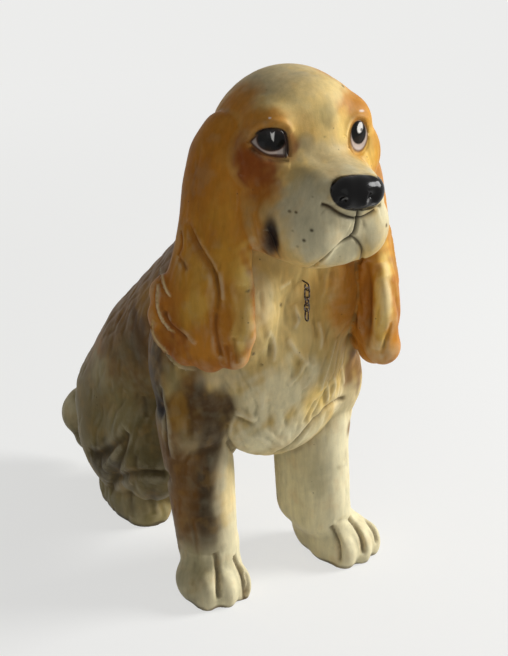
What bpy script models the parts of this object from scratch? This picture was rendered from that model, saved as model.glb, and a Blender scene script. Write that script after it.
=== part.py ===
# A seated spaniel puppy in bisque porcelain, made as slip-cast pieces that are luted
# together, with a fine wire eyelet in the chest and the short rest of a chain on it.
# The dog faces -Y, +Z is up, and its right side is at -X. Sizes are in millimetres.

import math

import bmesh
import bpy
from mathutils import Matrix, Vector
from mathutils.bvhtree import BVHTree

MM = 0.001

# Seams and surface
SEAM_GAP = 0.3
BODY_VOXEL = 1.2
BODY_ROUNDS = 18
BODY_FACES = 6300
LIMB_VOXEL = 1.1
EAR_ROUNDS = 13
EAR_FACES = 1000
LEG_ROUNDS = 5
LEG_FACES = 900
FOOT_FACES = 380
TAIL_FACES = 260

# Head, measured from the centre of the skull, which stands over the neck's seam
HEAD_SIDE = -0.8
HEAD_FORWARD = 14.5
HEAD_LIFT = 31.0
HEAD_TILT = 5.0
SKULL_HALF_WIDTH = 23.8
SKULL_HALF_DEPTH = 21.5
SKULL_HALF_HEIGHT = 24.6
EYE_SPREAD = 14.8
EYE_FORWARD = 14.7
EYE_LIFT = 8.5
EYE_HALF_WIDTH = 4.4
EYE_HALF_DEPTH = 4.0
EYE_HALF_HEIGHT = 3.5
EYE_TURN = 24.0

# Muzzle, nose and jaw, measured from the centre of the nose
NOSE_REACH = 36.2
NOSE_DROP = 2.6
NOSE_HALF_WIDTH = 8.6
NOSE_HALF_DEPTH = 5.0
NOSE_HALF_HEIGHT = 5.1
MUZZLE_LENGTH = 26.7
MUZZLE_HALF_WIDTH = 12.0
MUZZLE_HALF_HEIGHT = 9.5
FLEW_SPREAD = 7.6
FLEW_DROP = 12.4
FLEW_HALF_WIDTH = 8.6
FLEW_HALF_HEIGHT = 10.6
CHIN_DROP = 18.9
CHIN_HALF_WIDTH = 8.0

# Ears
EAR_SPREAD = 29.9
EAR_BACK = 1.5
EAR_SWING = 8.4
EAR_TOP_LIFT = 6.5
EAR_LENGTH = 56.5
LEFT_EAR_DROP = 2.5
LEFT_EAR_EXTRA = 4.0
EAR_HALF_WIDTH = 17.5
RIGHT_EAR_HALF_THICKNESS = 5.8
LEFT_EAR_HALF_THICKNESS = 7.2
LEFT_EAR_IN = 2.0
EAR_TURN = 25.0
EAR_LOCK_SIZE = 5.5

# Neck, chest and back
NECK_HEIGHT = 112.0
SEAM_SLOPE = 0.15
NECK_HALF_WIDTH = 22.0
NECK_HALF_DEPTH = 20.0
CHEST_SIDE = 1.0
CHEST_HEIGHT = 82.0
CHEST_FORWARD = 3.0
CHEST_HALF_WIDTH = 27.0
CHEST_HALF_DEPTH = 24.0
CHEST_HALF_HEIGHT = 33.0
APRON_SIDE = 2.5
APRON_HEIGHT = 43.0
APRON_HALF_WIDTH = 23.5
SHOULDER_SPREAD = 22.0
BACK_LENGTH = 59.0
BACK_HALF_WIDTH = 25.0
RUMP_HEIGHT = 31.0
RUMP_HALF_WIDTH = 27.0
RUMP_HALF_DEPTH = 27.0
HIND_SIDE_SHIFT = -3.5
HAUNCH_SPREAD = 14.5
HAUNCH_FORWARD = 18.0
HAUNCH_HALF_WIDTH = 11.5
HAUNCH_HALF_DEPTH = 20.0
HAUNCH_HALF_HEIGHT = 22.0
LEFT_HAUNCH_BACK = 12.0

# Legs, feet and tail
FORELEG_SPREAD = 20.6
FORELEG_FORWARD = 3.0
FORELEG_HALF_WIDTH = 8.6
FORELEG_HALF_DEPTH = 11.5
RIGHT_SHOULDER_OUT = 1.0
LEFT_SHOULDER_OUT = 4.0
FEATHER_DEPTH = 5.0
PAW_HALF_WIDTH = 10.8
PAW_HALF_LENGTH = 11.0
PAW_HEIGHT = 14.0
PAW_FORWARD = 4.5
LEFT_PAW_OUT = 7.2
LEFT_PAW_TURN = 14.0
LEFT_HEEL_BACK = 3.0
HIND_FOOT_SPREAD = 10.5
HIND_FOOT_FORWARD = 19.0
HIND_FOOT_HALF_WIDTH = 8.4
HIND_FOOT_LENGTH = 34.0
HIND_FOOT_HEIGHT = 19.0
TAIL_REACH = 101.5
TAIL_SIDE = -8.5
TAIL_HEIGHT = 19.0
TAIL_HALF_WIDTH = 8.0
TAIL_HALF_HEIGHT = 8.5
VENT_RADIUS = 2.2
VENT_DEPTH = 9.0

# Eyelet and chain
WIRE_DIAMETER = 0.5
LINK_INNER_WIDTH = 1.1
LONG_LINK_STRAIGHT = 2.2
SHORT_LINK_STRAIGHT = 1.0
EYELET_RADIUS = 1.1
EYELET_SIDE = 1.2
EYELET_DROP = 8.6
EYELET_SEAT = 4.0
CHAIN_CLEARANCE = 0.6

for old in list(bpy.data.objects):
    bpy.data.objects.remove(old, do_unlink=True)


def new_collection(name):
    made = bpy.data.collections.new(name)
    bpy.context.scene.collection.children.link(made)
    return made


parts = new_collection("porcelain_dog")
cutters = new_collection("cutters")
cutters.hide_render = True


def finish(name, colour, roughness, metallic=0.0):
    made = bpy.data.materials.new(name)
    made.use_nodes = True
    shader = made.node_tree.nodes["Principled BSDF"]
    shader.inputs["Base Color"].default_value = (*colour, 1.0)
    shader.inputs["Roughness"].default_value = roughness
    shader.inputs["Metallic"].default_value = metallic
    made.diffuse_color = (*colour, 1.0)
    return made


cream = finish("cream_bisque", (0.62, 0.58, 0.47), 0.42)
amber = finish("amber_bisque", (0.52, 0.24, 0.06), 0.42)
umber = finish("umber_bisque", (0.20, 0.13, 0.07), 0.45)
wire_metal = finish("dark_wire", (0.16, 0.13, 0.11), 0.40, 1.0)


def lump(x, y, z, half_x, half_y, half_z, turn=0.0):
    """One swelling of the form: its centre, half sizes and turn about Z."""
    place = Matrix.Translation(Vector((x, y, z)) * MM)
    swing = Matrix.Rotation(math.radians(turn), 4, "Z")
    return place @ swing @ Matrix.Diagonal((half_x * MM, half_y * MM, half_z * MM, 1.0))


def swept(keys, count):
    """A limb that swells and tapers through its key sections, as a row of overlapping lumps.

    A key section is a centre x, y, z, the half sizes there and, where wanted, a turn."""
    row = []
    for step in range(count):
        along = (len(keys) - 1) * step / (count - 1)
        first = min(int(along), len(keys) - 2)
        share = along - first
        row.append(lump(*[a + (b - a) * share for a, b in zip(keys[first], keys[first + 1])]))
    return row


def evaluated_mesh(thing):
    graph = bpy.context.evaluated_depsgraph_get()
    graph.update()
    return bpy.data.meshes.new_from_object(thing.evaluated_get(graph))


def bake(thing):
    """Applies the object's modifiers to its own mesh."""
    mesh = evaluated_mesh(thing)
    thing.modifiers.clear()
    thing.data = mesh


def keep_largest(mesh):
    """Leaves the largest connected body of a mesh, in case a cut left a sliver."""
    work = bmesh.new()
    work.from_mesh(mesh)
    left = set(work.verts)
    islands = []
    while left:
        edge_of = [left.pop()]
        island = list(edge_of)
        while edge_of:
            vertex = edge_of.pop()
            for edge in vertex.link_edges:
                other = edge.other_vert(vertex)
                if other in left:
                    left.remove(other)
                    edge_of.append(other)
                    island.append(other)
        islands.append(island)
    islands.sort(key=len)
    for island in islands[:-1]:
        bmesh.ops.delete(work, geom=island, context="VERTS")
    work.to_mesh(mesh)
    work.free()


def place_in(thing, collection, material):
    collection.objects.link(thing)
    if material:
        thing.data.materials.clear()
        thing.data.materials.append(material)
    if collection is cutters:
        thing.hide_render = True
        thing.display_type = "WIRE"


def cast(name, lumps, voxel, smoothing, faces, material):
    """Fuses the lumps into one skin, smooths it and thins it to about the faces asked for."""
    work = bmesh.new()
    for shape in lumps:
        bmesh.ops.create_icosphere(work, subdivisions=4, radius=1.0, matrix=shape)
    mesh = bpy.data.meshes.new(name)
    work.to_mesh(mesh)
    work.free()
    thing = bpy.data.objects.new(name, mesh)
    place_in(thing, parts, material)
    remesh = thing.modifiers.new("fuse", "REMESH")
    remesh.mode = "VOXEL"
    remesh.voxel_size = voxel * MM
    smooth = thing.modifiers.new("soften", "SMOOTH")
    smooth.factor = 0.5
    smooth.iterations = round(smoothing)
    bake(thing)
    thin = thing.modifiers.new("thin", "DECIMATE")
    thin.ratio = min(1.0, faces / (2.0 * len(thing.data.polygons)))
    bake(thing)
    keep_largest(thing.data)
    return thing


def cut(thing, cutter, operation="DIFFERENCE"):
    boolean = thing.modifiers.new("cut", "BOOLEAN")
    boolean.operation = operation
    boolean.solver = "EXACT"
    boolean.object = cutter
    bake(thing)
    keep_largest(thing.data)


def add_ball(thing, shape):
    """Joins a fine ball to a cast piece without softening the crease round it."""
    work = bmesh.new()
    bmesh.ops.create_icosphere(work, subdivisions=2, radius=1.0, matrix=shape)
    mesh = bpy.data.meshes.new("ball")
    work.to_mesh(mesh)
    work.free()
    ball = bpy.data.objects.new("ball", mesh)
    place_in(ball, cutters, None)
    cut(thing, ball, "UNION")
    bpy.data.objects.remove(ball, do_unlink=True)


def cut_plane(thing, point, normal):
    """Takes off what lies on the normal's side of the plane and closes the cut flat."""
    work = bmesh.new()
    work.from_mesh(thing.data)
    everything = work.verts[:] + work.edges[:] + work.faces[:]
    made = bmesh.ops.bisect_plane(
        work, geom=everything, dist=1e-7, plane_co=point, plane_no=normal, clear_outer=True
    )
    rim = [item for item in made["geom_cut"] if isinstance(item, bmesh.types.BMEdge)]
    bmesh.ops.triangle_fill(work, edges=rim, use_beauty=True)
    bmesh.ops.recalc_face_normals(work, faces=work.faces[:])
    work.to_mesh(thing.data)
    work.free()
    keep_largest(thing.data)


def grown_copy(thing, amount):
    """A cutter that stands off the piece by the seam gap."""
    made = bpy.data.objects.new(thing.name + "_clearance", thing.data.copy())
    place_in(made, cutters, None)
    swell = made.modifiers.new("stand_off", "DISPLACE")
    swell.mid_level = 0.0
    swell.strength = amount * MM
    return made


def shade(thing):
    thing.data.shade_smooth()
    thing.data.set_sharp_from_angle(angle=math.radians(50))


# Head
head_y = -HEAD_FORWARD
head_z = NECK_HEIGHT + HEAD_LIFT
nose_y = head_y - NOSE_REACH
nose_z = head_z - NOSE_DROP
flew_z = nose_z - FLEW_DROP
chin_z = nose_z - CHIN_DROP


def both_sides(make):
    return make(-1) + make(1)


def skull_lump(x, y, z, wide, deep, tall):
    """A swelling of the skull, in shares of its half width, depth and height."""
    return lump(
        x * SKULL_HALF_WIDTH,
        head_y + y * SKULL_HALF_DEPTH,
        head_z + z * SKULL_HALF_HEIGHT,
        wide * SKULL_HALF_WIDTH,
        deep * SKULL_HALF_DEPTH,
        tall * SKULL_HALF_HEIGHT,
    )


def muzzle_key(x, back, drop, wide, deep, tall):
    """A section of the muzzle, in shares of its half width, length and half height."""
    return (
        x * MUZZLE_HALF_WIDTH,
        nose_y + back * MUZZLE_LENGTH,
        nose_z - drop * MUZZLE_HALF_HEIGHT,
        wide * MUZZLE_HALF_WIDTH,
        deep * MUZZLE_LENGTH,
        tall * MUZZLE_HALF_HEIGHT,
    )


def flew_key(side, spread, back, lift, wide, deep, tall):
    """A section of the hanging upper lip, in shares of its own sizes and the muzzle's length."""
    return (
        side * spread * FLEW_SPREAD,
        nose_y + back * MUZZLE_LENGTH,
        flew_z + lift * FLEW_HALF_HEIGHT,
        wide * FLEW_HALF_WIDTH,
        deep * MUZZLE_LENGTH,
        tall * FLEW_HALF_HEIGHT,
    )


tilt = (
    Matrix.Translation(Vector((HEAD_SIDE, 0, NECK_HEIGHT)) * MM)
    @ Matrix.Rotation(math.radians(HEAD_TILT), 4, "Y")
    @ Matrix.Translation(Vector((0, 0, -NECK_HEIGHT)) * MM)
)


def tilted(lumps):
    """Leans lumps of the head over with it, about the neck."""
    return [tilt @ shape for shape in lumps]


# Skull, forehead and stop, then on each side the brow, temple, cheek and its filling.
head_lumps = [
    skull_lump(0, 0, 0, 1, 1, 1),
    skull_lump(0, -0.28, 0.37, 0.80, 0.60, 0.61),
    skull_lump(0, -0.56, 0.16, 0.55, 0.35, 0.37),
]
head_lumps += both_sides(
    lambda side: [
        skull_lump(side * 0.51, -0.40, 0.38, 0.38, 0.47, 0.37),
        skull_lump(side * 0.66, -0.39, 0, 0.40, 0.47, 0.45),
        skull_lump(side * 0.57, -0.26, -0.47, 0.50, 0.63, 0.55),
        skull_lump(side * 0.42, -0.72, -0.28, 0.36, 0.42, 0.49),
    ]
)

# Bridge, muzzle with its square top, lips, the fold between them, jaw and chin.
head_lumps += swept([muzzle_key(0, 0.96, 0, 1.04, 0.34, 0.95), muzzle_key(0, 0.21, 0.3, 0.83, 0.3, 0.82)], 10)
head_lumps += swept([muzzle_key(0, 1, 0.3, 1.21, 0.34, 1.16), muzzle_key(0, 0.29, 0.56, 1, 0.32, 1)], 10)
for side in (-1, 1):
    head_lumps += swept(
        [
            muzzle_key(side * 0.67, 0.93, 0.19, 0.71, 0.34, 1),
            muzzle_key(side * 0.46, 0.29, 0.4, 0.63, 0.32, 0.87),
        ],
        10,
    )
    head_lumps += swept(
        [
            flew_key(side, 1.58, 1, 0.1, 1.34, 0.45, 1.13),
            flew_key(side, 1.36, 0.61, -0.05, 1.16, 0.41, 1.04),
            flew_key(side, 1, 0.33, 0, 1, 0.37, 1),
        ],
        10,
    )
head_lumps += [
    lump(*muzzle_key(0, 0.28, 1.24, 0.5, 0.3, 0.84)),
    lump(
        0,
        nose_y + 0.78 * MUZZLE_LENGTH,
        chin_z,
        1.17 * MUZZLE_HALF_WIDTH,
        0.6 * MUZZLE_LENGTH,
        0.89 * MUZZLE_HALF_HEIGHT,
    ),
    lump(
        0,
        nose_y + 0.34 * MUZZLE_LENGTH,
        chin_z,
        CHIN_HALF_WIDTH,
        0.32 * MUZZLE_LENGTH,
        0.53 * MUZZLE_HALF_HEIGHT,
    ),
]
nose_lumps = [lump(0, nose_y, nose_z, 0.85 * NOSE_HALF_WIDTH, NOSE_HALF_DEPTH, NOSE_HALF_HEIGHT)]
nose_lumps += both_sides(
    lambda side: [
        lump(
            side * 0.4 * NOSE_HALF_WIDTH,
            nose_y + 0.08 * NOSE_HALF_DEPTH,
            nose_z,
            0.6 * NOSE_HALF_WIDTH,
            0.96 * NOSE_HALF_DEPTH,
            0.98 * NOSE_HALF_HEIGHT,
        )
    ]
)
eye_lumps = both_sides(
    lambda side: [
        lump(
            side * EYE_SPREAD,
            head_y - EYE_FORWARD,
            head_z + EYE_LIFT,
            EYE_HALF_WIDTH,
            EYE_HALF_DEPTH,
            EYE_HALF_HEIGHT,
            side * EYE_TURN,
        )
    ]
)

# Neck and body
chest_y = -CHEST_FORWARD
rump_y = chest_y + BACK_LENGTH
hind_x = HIND_SIDE_SHIFT


def chest_lump(x, y, z, wide, deep, tall):
    """A swelling of the chest from its own centre, in shares of its half sizes."""
    return lump(
        x,
        chest_y + y * CHEST_HALF_DEPTH,
        CHEST_HEIGHT + z * CHEST_HALF_HEIGHT,
        wide * CHEST_HALF_WIDTH,
        deep * CHEST_HALF_DEPTH,
        tall * CHEST_HALF_HEIGHT,
    )


left_arm_x = 1.045 * SHOULDER_SPREAD + 0.65 * LEFT_SHOULDER_OUT
neck_lumps = swept(
    [
        (
            0,
            head_y + 0.28 * SKULL_HALF_DEPTH,
            head_z - 0.45 * SKULL_HALF_HEIGHT,
            NECK_HALF_WIDTH,
            NECK_HALF_DEPTH,
            0.65 * SKULL_HALF_HEIGHT,
        ),
        (
            0,
            chest_y + 0.125 * CHEST_HALF_DEPTH,
            CHEST_HEIGHT + 0.485 * CHEST_HALF_HEIGHT,
            1.14 * NECK_HALF_WIDTH,
            1.2 * NECK_HALF_DEPTH,
            0.55 * CHEST_HALF_HEIGHT,
        ),
    ],
    7,
)
apron_half_height = 0.67 * CHEST_HALF_HEIGHT
body_lumps = [
    chest_lump(CHEST_SIDE, 0, 0, 1, 1, 1),
    lump(
        APRON_SIDE,
        chest_y - 0.25 * CHEST_HALF_DEPTH,
        APRON_HEIGHT + apron_half_height,
        APRON_HALF_WIDTH,
        0.54 * CHEST_HALF_DEPTH,
        apron_half_height,
    ),
    lump(hind_x, rump_y, RUMP_HEIGHT, RUMP_HALF_WIDTH, RUMP_HALF_DEPTH, 1.03 * RUMP_HEIGHT),
    chest_lump(left_arm_x, 0.04, -0.6, 0.39, 0.54, 0.515),
]
body_lumps += swept(
    [
        (
            0,
            chest_y + 0.25 * CHEST_HALF_DEPTH,
            CHEST_HEIGHT + 0.515 * CHEST_HALF_HEIGHT,
            0.96 * BACK_HALF_WIDTH,
            0.92 * BACK_HALF_WIDTH,
            0.92 * BACK_HALF_WIDTH,
        ),
        (
            hind_x,
            rump_y - 0.24 * BACK_LENGTH,
            RUMP_HEIGHT + 0.58 * (CHEST_HEIGHT - RUMP_HEIGHT),
            BACK_HALF_WIDTH,
            0.96 * BACK_HALF_WIDTH,
            0.96 * BACK_HALF_WIDTH,
        ),
        (
            hind_x,
            rump_y + 0.06 * BACK_LENGTH,
            1.19 * RUMP_HEIGHT,
            1.04 * BACK_HALF_WIDTH,
            BACK_HALF_WIDTH,
            BACK_HALF_WIDTH,
        ),
    ],
    24,
)

# On each side the bib, shoulder, upper arm and haunch. The left arm is held out a little.
body_lumps += both_sides(
    lambda side: [
        chest_lump(side * 0.52 * CHEST_HALF_WIDTH, -0.46, 0.515, 0.48, 0.58, 0.667),
        chest_lump(side * SHOULDER_SPREAD, 0.125, -0.18, 0.444, 0.71, 0.727),
        chest_lump(side * 1.045 * SHOULDER_SPREAD, 0.04, -0.6, 0.39, 0.54, 0.515),
        lump(
            hind_x + side * HAUNCH_SPREAD,
            rump_y - HAUNCH_FORWARD + (LEFT_HAUNCH_BACK if side > 0 else 0.0),
            1.1 * RUMP_HEIGHT,
            HAUNCH_HALF_WIDTH,
            HAUNCH_HALF_DEPTH,
            HAUNCH_HALF_HEIGHT,
        ),
    ]
)

# Head and body are one swelling form, parted afterwards, so that they meet flush.
whole = body_lumps + neck_lumps + tilted(head_lumps)
body = cast("body_casting", whole, BODY_VOXEL, BODY_ROUNDS, BODY_FACES, cream)
head = bpy.data.objects.new("head_casting", body.data.copy())
place_in(head, parts, cream)
for shape in tilted(nose_lumps + eye_lumps):
    add_ball(head, shape)

# The head sits on the neck along one flat seam that rises towards the back.
seam_point = Vector((0, head_y, NECK_HEIGHT)) * MM
seam_normal = Vector((0, -SEAM_SLOPE, 1.0)).normalized()
cut_plane(body, seam_point, seam_normal)
cut_plane(head, seam_point + seam_normal * SEAM_GAP * MM, -seam_normal)
cut_plane(body, Vector((0, 0, 0)), Vector((0, 0, -1)))

body_clearance = grown_copy(body, SEAM_GAP)
head_clearance = grown_copy(head, SEAM_GAP)


# Ear sections from the root down: share of the length, of the spread, of the swing forward,
# of the half width and of the turn. The lowest third carries the locks on the back and hem.
ear_sections = (
    (0.02, 0.33, 0.0, 0.46, 0.32),
    (0.0, 0.56, 0.18, 0.54, 0.48),
    (0.09, 0.71, 0.30, 0.63, 0.56),
    (0.25, 0.81, 0.45, 0.70, 0.68),
    (0.42, 0.86, 0.60, 0.71, 0.80),
    (0.585, 0.92, 0.74, 0.77, 0.92),
    (0.755, 0.98, 0.91, 0.90, 1.0),
    (0.915, 1.0, 0.97, 1.0, 1.0),
    (1.0, 0.98, 0.95, 0.91, 1.0),
)
ear_locks = ((0.80, 0.97), (0.94, 1.0), (1.04, 0.86), (1.095, 0.45), (1.095, -0.12), (1.04, -0.66))


def ear(name, side, drop, extra, half_thickness, inward):
    top_z = head_z + EAR_TOP_LIFT - drop
    length = EAR_LENGTH + extra
    root_y = head_y + EAR_BACK
    keys = []
    for down, spread, swing, width, turn in ear_sections:
        keys.append(
            (
                side * spread * (EAR_SPREAD - inward),
                root_y - swing * EAR_SWING,
                top_z - down * length,
                half_thickness,
                width * EAR_HALF_WIDTH,
                (0.06 + 0.08 * min(1.0, width)) * EAR_LENGTH,
                -side * turn * EAR_TURN,
            )
        )
    lumps = swept(keys, 32)
    turned = Matrix.Rotation(math.radians(-side * EAR_TURN), 3, "Z")
    for down, edge in ear_locks:
        lock = turned @ Vector((0, edge * (EAR_HALF_WIDTH - 0.4 * EAR_LOCK_SIZE), 0))
        lumps.append(
            lump(
                side * (EAR_SPREAD - inward) + lock.x,
                root_y - EAR_SWING + lock.y,
                top_z - down * length,
                0.8 * half_thickness,
                EAR_LOCK_SIZE,
                EAR_LOCK_SIZE,
                -side * EAR_TURN,
            )
        )
    made = cast(name, lumps, LIMB_VOXEL, EAR_ROUNDS, EAR_FACES, amber)
    cut(made, head_clearance)
    cut(made, body_clearance)
    return made


ears = [
    ear("right_ear", -1, 0.0, 0.0, RIGHT_EAR_HALF_THICKNESS, 0.0),
    ear("left_ear", 1, LEFT_EAR_DROP, LEFT_EAR_EXTRA, LEFT_EAR_HALF_THICKNESS, LEFT_EAR_IN),
]


def foreleg(name, side, shoulder_out, out, turn, heel_back):
    x = side * FORELEG_SPREAD
    y = -FORELEG_FORWARD
    wide = FORELEG_HALF_WIDTH
    deep = FORELEG_HALF_DEPTH
    reach = side * shoulder_out
    ring = 0.93 * wide
    lumps = swept(
        [
            (x + reach, y + 0.33 * deep, 0.7 * CHEST_HEIGHT, 1.13 * wide, 1.08 * deep, ring),
            (x + 0.2 * reach, y + 0.09 * deep, 0.5 * CHEST_HEIGHT, 1.19 * wide, 1.09 * deep, ring),
            (
                x + 0.3 * out - 0.06 * side * wide,
                y - 0.17 * deep,
                1.07 * PAW_HEIGHT,
                1.07 * wide,
                0.91 * deep,
                ring,
            ),
        ],
        14,
    )
    lumps += swept(
        [
            (
                x - 0.35 * side * wide,
                y + 0.5 * deep,
                0.5 * CHEST_HEIGHT,
                0.81 * wide,
                2 * FEATHER_DEPTH,
                1.05 * wide,
            ),
            (
                x - 0.23 * side * wide,
                y + 0.5 * deep,
                1.29 * PAW_HEIGHT,
                0.81 * wide,
                1.6 * FEATHER_DEPTH,
                1.05 * wide,
            ),
        ],
        6,
    )
    paw_x = x + out
    paw_y = y - PAW_FORWARD
    lumps += [
        lump(paw_x, paw_y, 0.36 * PAW_HEIGHT, PAW_HALF_WIDTH, PAW_HALF_LENGTH, 0.66 * PAW_HEIGHT, turn),
        lump(
            paw_x - 0.26 * side * PAW_HALF_WIDTH,
            y + heel_back,
            0.61 * PAW_HEIGHT,
            0.79 * PAW_HALF_WIDTH,
            1.05 * PAW_HALF_LENGTH,
            0.89 * PAW_HEIGHT,
            turn,
        ),
    ]
    swing = Matrix.Rotation(math.radians(turn), 3, "Z")
    for place in (-0.56, 0.0, 0.56):
        tip = swing @ Vector((place * PAW_HALF_WIDTH, (0.22 * abs(place) - 0.72) * PAW_HALF_LENGTH, 0))
        lumps.append(
            lump(
                paw_x + tip.x,
                paw_y + tip.y,
                0.3 * PAW_HEIGHT,
                0.34 * PAW_HALF_WIDTH,
                0.5 * PAW_HALF_LENGTH,
                0.5 * PAW_HEIGHT,
                turn,
            )
        )
    made = cast(name, lumps, LIMB_VOXEL, LEG_ROUNDS, LEG_FACES, cream)
    cut_plane(made, Vector((0, 0, 0)), Vector((0, 0, -1)))
    cut(made, body_clearance)
    return made


forelegs = [
    foreleg("right_foreleg", -1, RIGHT_SHOULDER_OUT, 0.0, 0.0, 0.0),
    foreleg("left_foreleg", 1, LEFT_SHOULDER_OUT, LEFT_PAW_OUT, LEFT_PAW_TURN, LEFT_HEEL_BACK),
]


def hind_foot(name, side):
    x = hind_x + side * HIND_FOOT_SPREAD
    toe_y = rump_y - HIND_FOOT_FORWARD
    wide = HIND_FOOT_HALF_WIDTH
    long = HIND_FOOT_LENGTH
    low = 0.3 * HIND_FOOT_HEIGHT
    lumps = swept(
        [
            (x, toe_y + 0.21 * long, low, wide, 0.21 * long, 1.8 * low),
            (x, toe_y + 0.47 * long, low, 1.06 * wide, 0.21 * long, 2.28 * low),
            (x, toe_y + 0.79 * long, low, 0.88 * wide, 0.21 * long, 2.0 * low),
        ],
        8,
    )
    made = cast(name, lumps, LIMB_VOXEL, LEG_ROUNDS, FOOT_FACES, umber)
    cut_plane(made, Vector((0, 0, 0)), Vector((0, 0, -1)))
    cut(made, body_clearance)
    return made


hind_feet = [hind_foot("right_hind_foot", -1), hind_foot("left_hind_foot", 1)]

tail_root = (hind_x, rump_y + 0.7 * RUMP_HALF_DEPTH, 1.16 * TAIL_HEIGHT)
tail_tip = (hind_x + TAIL_SIDE, TAIL_REACH - TAIL_HALF_WIDTH, TAIL_HEIGHT)
tail_lumps = swept(
    [
        (*tail_root, TAIL_HALF_WIDTH, TAIL_HALF_WIDTH, 1.24 * TAIL_HALF_HEIGHT),
        (*tail_tip, TAIL_HALF_WIDTH, TAIL_HALF_WIDTH, TAIL_HALF_HEIGHT),
    ],
    5,
)
tail = cast("tail", tail_lumps, LIMB_VOXEL, LEG_ROUNDS, TAIL_FACES, umber)
cut(tail, body_clearance)

# Vent: the kiln hole under the rump, left open so that the hot air could leave.
def upright_cylinder(name, centre, radius, depth, sides):
    work = bmesh.new()
    bmesh.ops.create_cone(
        work,
        cap_ends=True,
        segments=sides,
        radius1=radius * MM,
        radius2=radius * MM,
        depth=depth * MM,
        matrix=Matrix.Translation(Vector(centre) * MM),
    )
    mesh = bpy.data.meshes.new(name)
    work.to_mesh(mesh)
    work.free()
    made = bpy.data.objects.new(name, mesh)
    place_in(made, cutters, None)
    return made


vent = upright_cylinder("vent_cutter", (hind_x, rump_y, 0), VENT_RADIUS, 2 * VENT_DEPTH, 16)
cut(body, vent)

# Chain: every link hangs from the lowest point of the bow before it, and swings on that wire.
wire = 0.5 * WIRE_DIAMETER
bow = 0.5 * (LINK_INNER_WIDTH + WIRE_DIAMETER)
straights = [LONG_LINK_STRAIGHT, SHORT_LINK_STRAIGHT, SHORT_LINK_STRAIGHT, LONG_LINK_STRAIGHT]

chest_surface = BVHTree.FromPolygons(
    [vertex.co.copy() for vertex in body.data.vertices],
    [tuple(face.vertices) for face in body.data.polygons],
)


def chest_front(x, z):
    """The depth at which a line from well in front of the dog meets the chest."""
    hit = chest_surface.ray_cast(Vector((x, -2 * head_z, z)) * MM, Vector((0, 1, 0)))
    return hit[0].y / MM


eyelet_z = NECK_HEIGHT - EYELET_DROP
chain_length = sum(straights) + len(straights) * bow
chain_reach = bow + wire
chain_y = min(
    chest_front(EYELET_SIDE + across * chain_reach, eyelet_z - step)
    for across in (-1, 0, 1)
    for step in range(-int(2 * EYELET_RADIUS) - 1, int(chain_length) + 2)
) - chain_reach - CHAIN_CLEARANCE


def bent_wire(name, points, closed):
    curve = bpy.data.curves.new(name, "CURVE")
    curve.dimensions = "3D"
    curve.bevel_depth = wire * MM
    curve.bevel_resolution = 2
    curve.use_fill_caps = True
    spline = curve.splines.new("POLY")
    spline.points.add(len(points) - 1)
    for point, place in zip(spline.points, points):
        point.co = (*(Vector(place) * MM), 1.0)
    spline.use_cyclic_u = closed
    drawn = bpy.data.objects.new(name + "_route", curve)
    place_in(drawn, cutters, None)
    mesh = evaluated_mesh(drawn)
    work = bmesh.new()
    work.from_mesh(mesh)
    bmesh.ops.remove_doubles(work, verts=work.verts[:], dist=0.02 * MM)
    bmesh.ops.recalc_face_normals(work, faces=work.faces[:])
    work.to_mesh(mesh)
    work.free()
    made = bpy.data.objects.new(name, mesh)
    bpy.data.objects.remove(drawn, do_unlink=True)
    place_in(made, parts, wire_metal)
    return made


def arc(centre_z, first, last, count):
    """Points on a bow in its own plane, as (across, up)."""
    places = []
    for step in range(count):
        angle = math.radians(first + (last - first) * step / (count - 1))
        places.append((bow * math.cos(angle), centre_z + bow * math.sin(angle)))
    return places


pivot = Vector((EYELET_SIDE, chain_y, eyelet_z))

# The eyelet is one wire that comes out of the chest and bends round until it nearly closes.
eye_centre = pivot + Vector((0, 0, EYELET_RADIUS))
seat_y = chest_front(EYELET_SIDE, eye_centre.z) + EYELET_SEAT
eyelet_points = [(EYELET_SIDE, seat_y, eye_centre.z + EYELET_RADIUS)]
for step in range(17):
    angle = math.radians(90 + 290 * step / 16)
    across_y = eye_centre.y + EYELET_RADIUS * math.cos(angle)
    eyelet_points.append((EYELET_SIDE, across_y, eye_centre.z + EYELET_RADIUS * math.sin(angle)))
eyelet = bent_wire("chest_eyelet", eyelet_points, False)

seat = bpy.data.meshes.new("eyelet_seat")
work = bmesh.new()
seat_place = Matrix.Translation(Vector(eyelet_points[0]) * MM) @ Matrix.Rotation(math.radians(90), 4, "X")
bmesh.ops.create_cone(
    work,
    cap_ends=True,
    segments=12,
    radius1=(wire + SEAM_GAP) * MM,
    radius2=(wire + SEAM_GAP) * MM,
    depth=2 * (EYELET_SEAT + SEAM_GAP) * MM,
    matrix=seat_place,
)
work.to_mesh(seat)
work.free()
seat_cutter = bpy.data.objects.new("eyelet_seat_cutter", seat)
place_in(seat_cutter, cutters, None)
cut(body, seat_cutter)

links = []
for number, straight in enumerate(straights, 1):
    outline = arc(0.0, 0, 180, 7) + arc(-straight, 180, 360, 7)
    face_on = number % 2 == 1
    points = [(across, 0, up) if face_on else (0, across, up) for across, up in outline]
    link = bent_wire("chain_link_%d" % number, points, True)
    link.location = pivot * MM
    links.append(link)
    pivot = pivot - Vector((0, 0, straight + bow))

pieces = [body, head, tail, eyelet] + ears + forelegs + hind_feet + links
for piece in pieces:
    shade(piece)

# The origin goes to the middle of the footprint, on the surface that the dog stands on.
corners = [piece.location + vertex.co for piece in pieces for vertex in piece.data.vertices]
spans = [[corner[axis] for corner in corners] for axis in (0, 1)]
middle = Vector([0.5 * (min(span) + max(span)) for span in spans] + [0.0])
for piece in pieces:
    piece.location -= middle
for link in links:
    print(link.name, "swings about", [round(value, 6) for value in link.location])
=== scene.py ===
import math

import bmesh
import bpy
import numpy as np
from mathutils import Matrix, Vector
from mathutils.bvhtree import BVHTree


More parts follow.
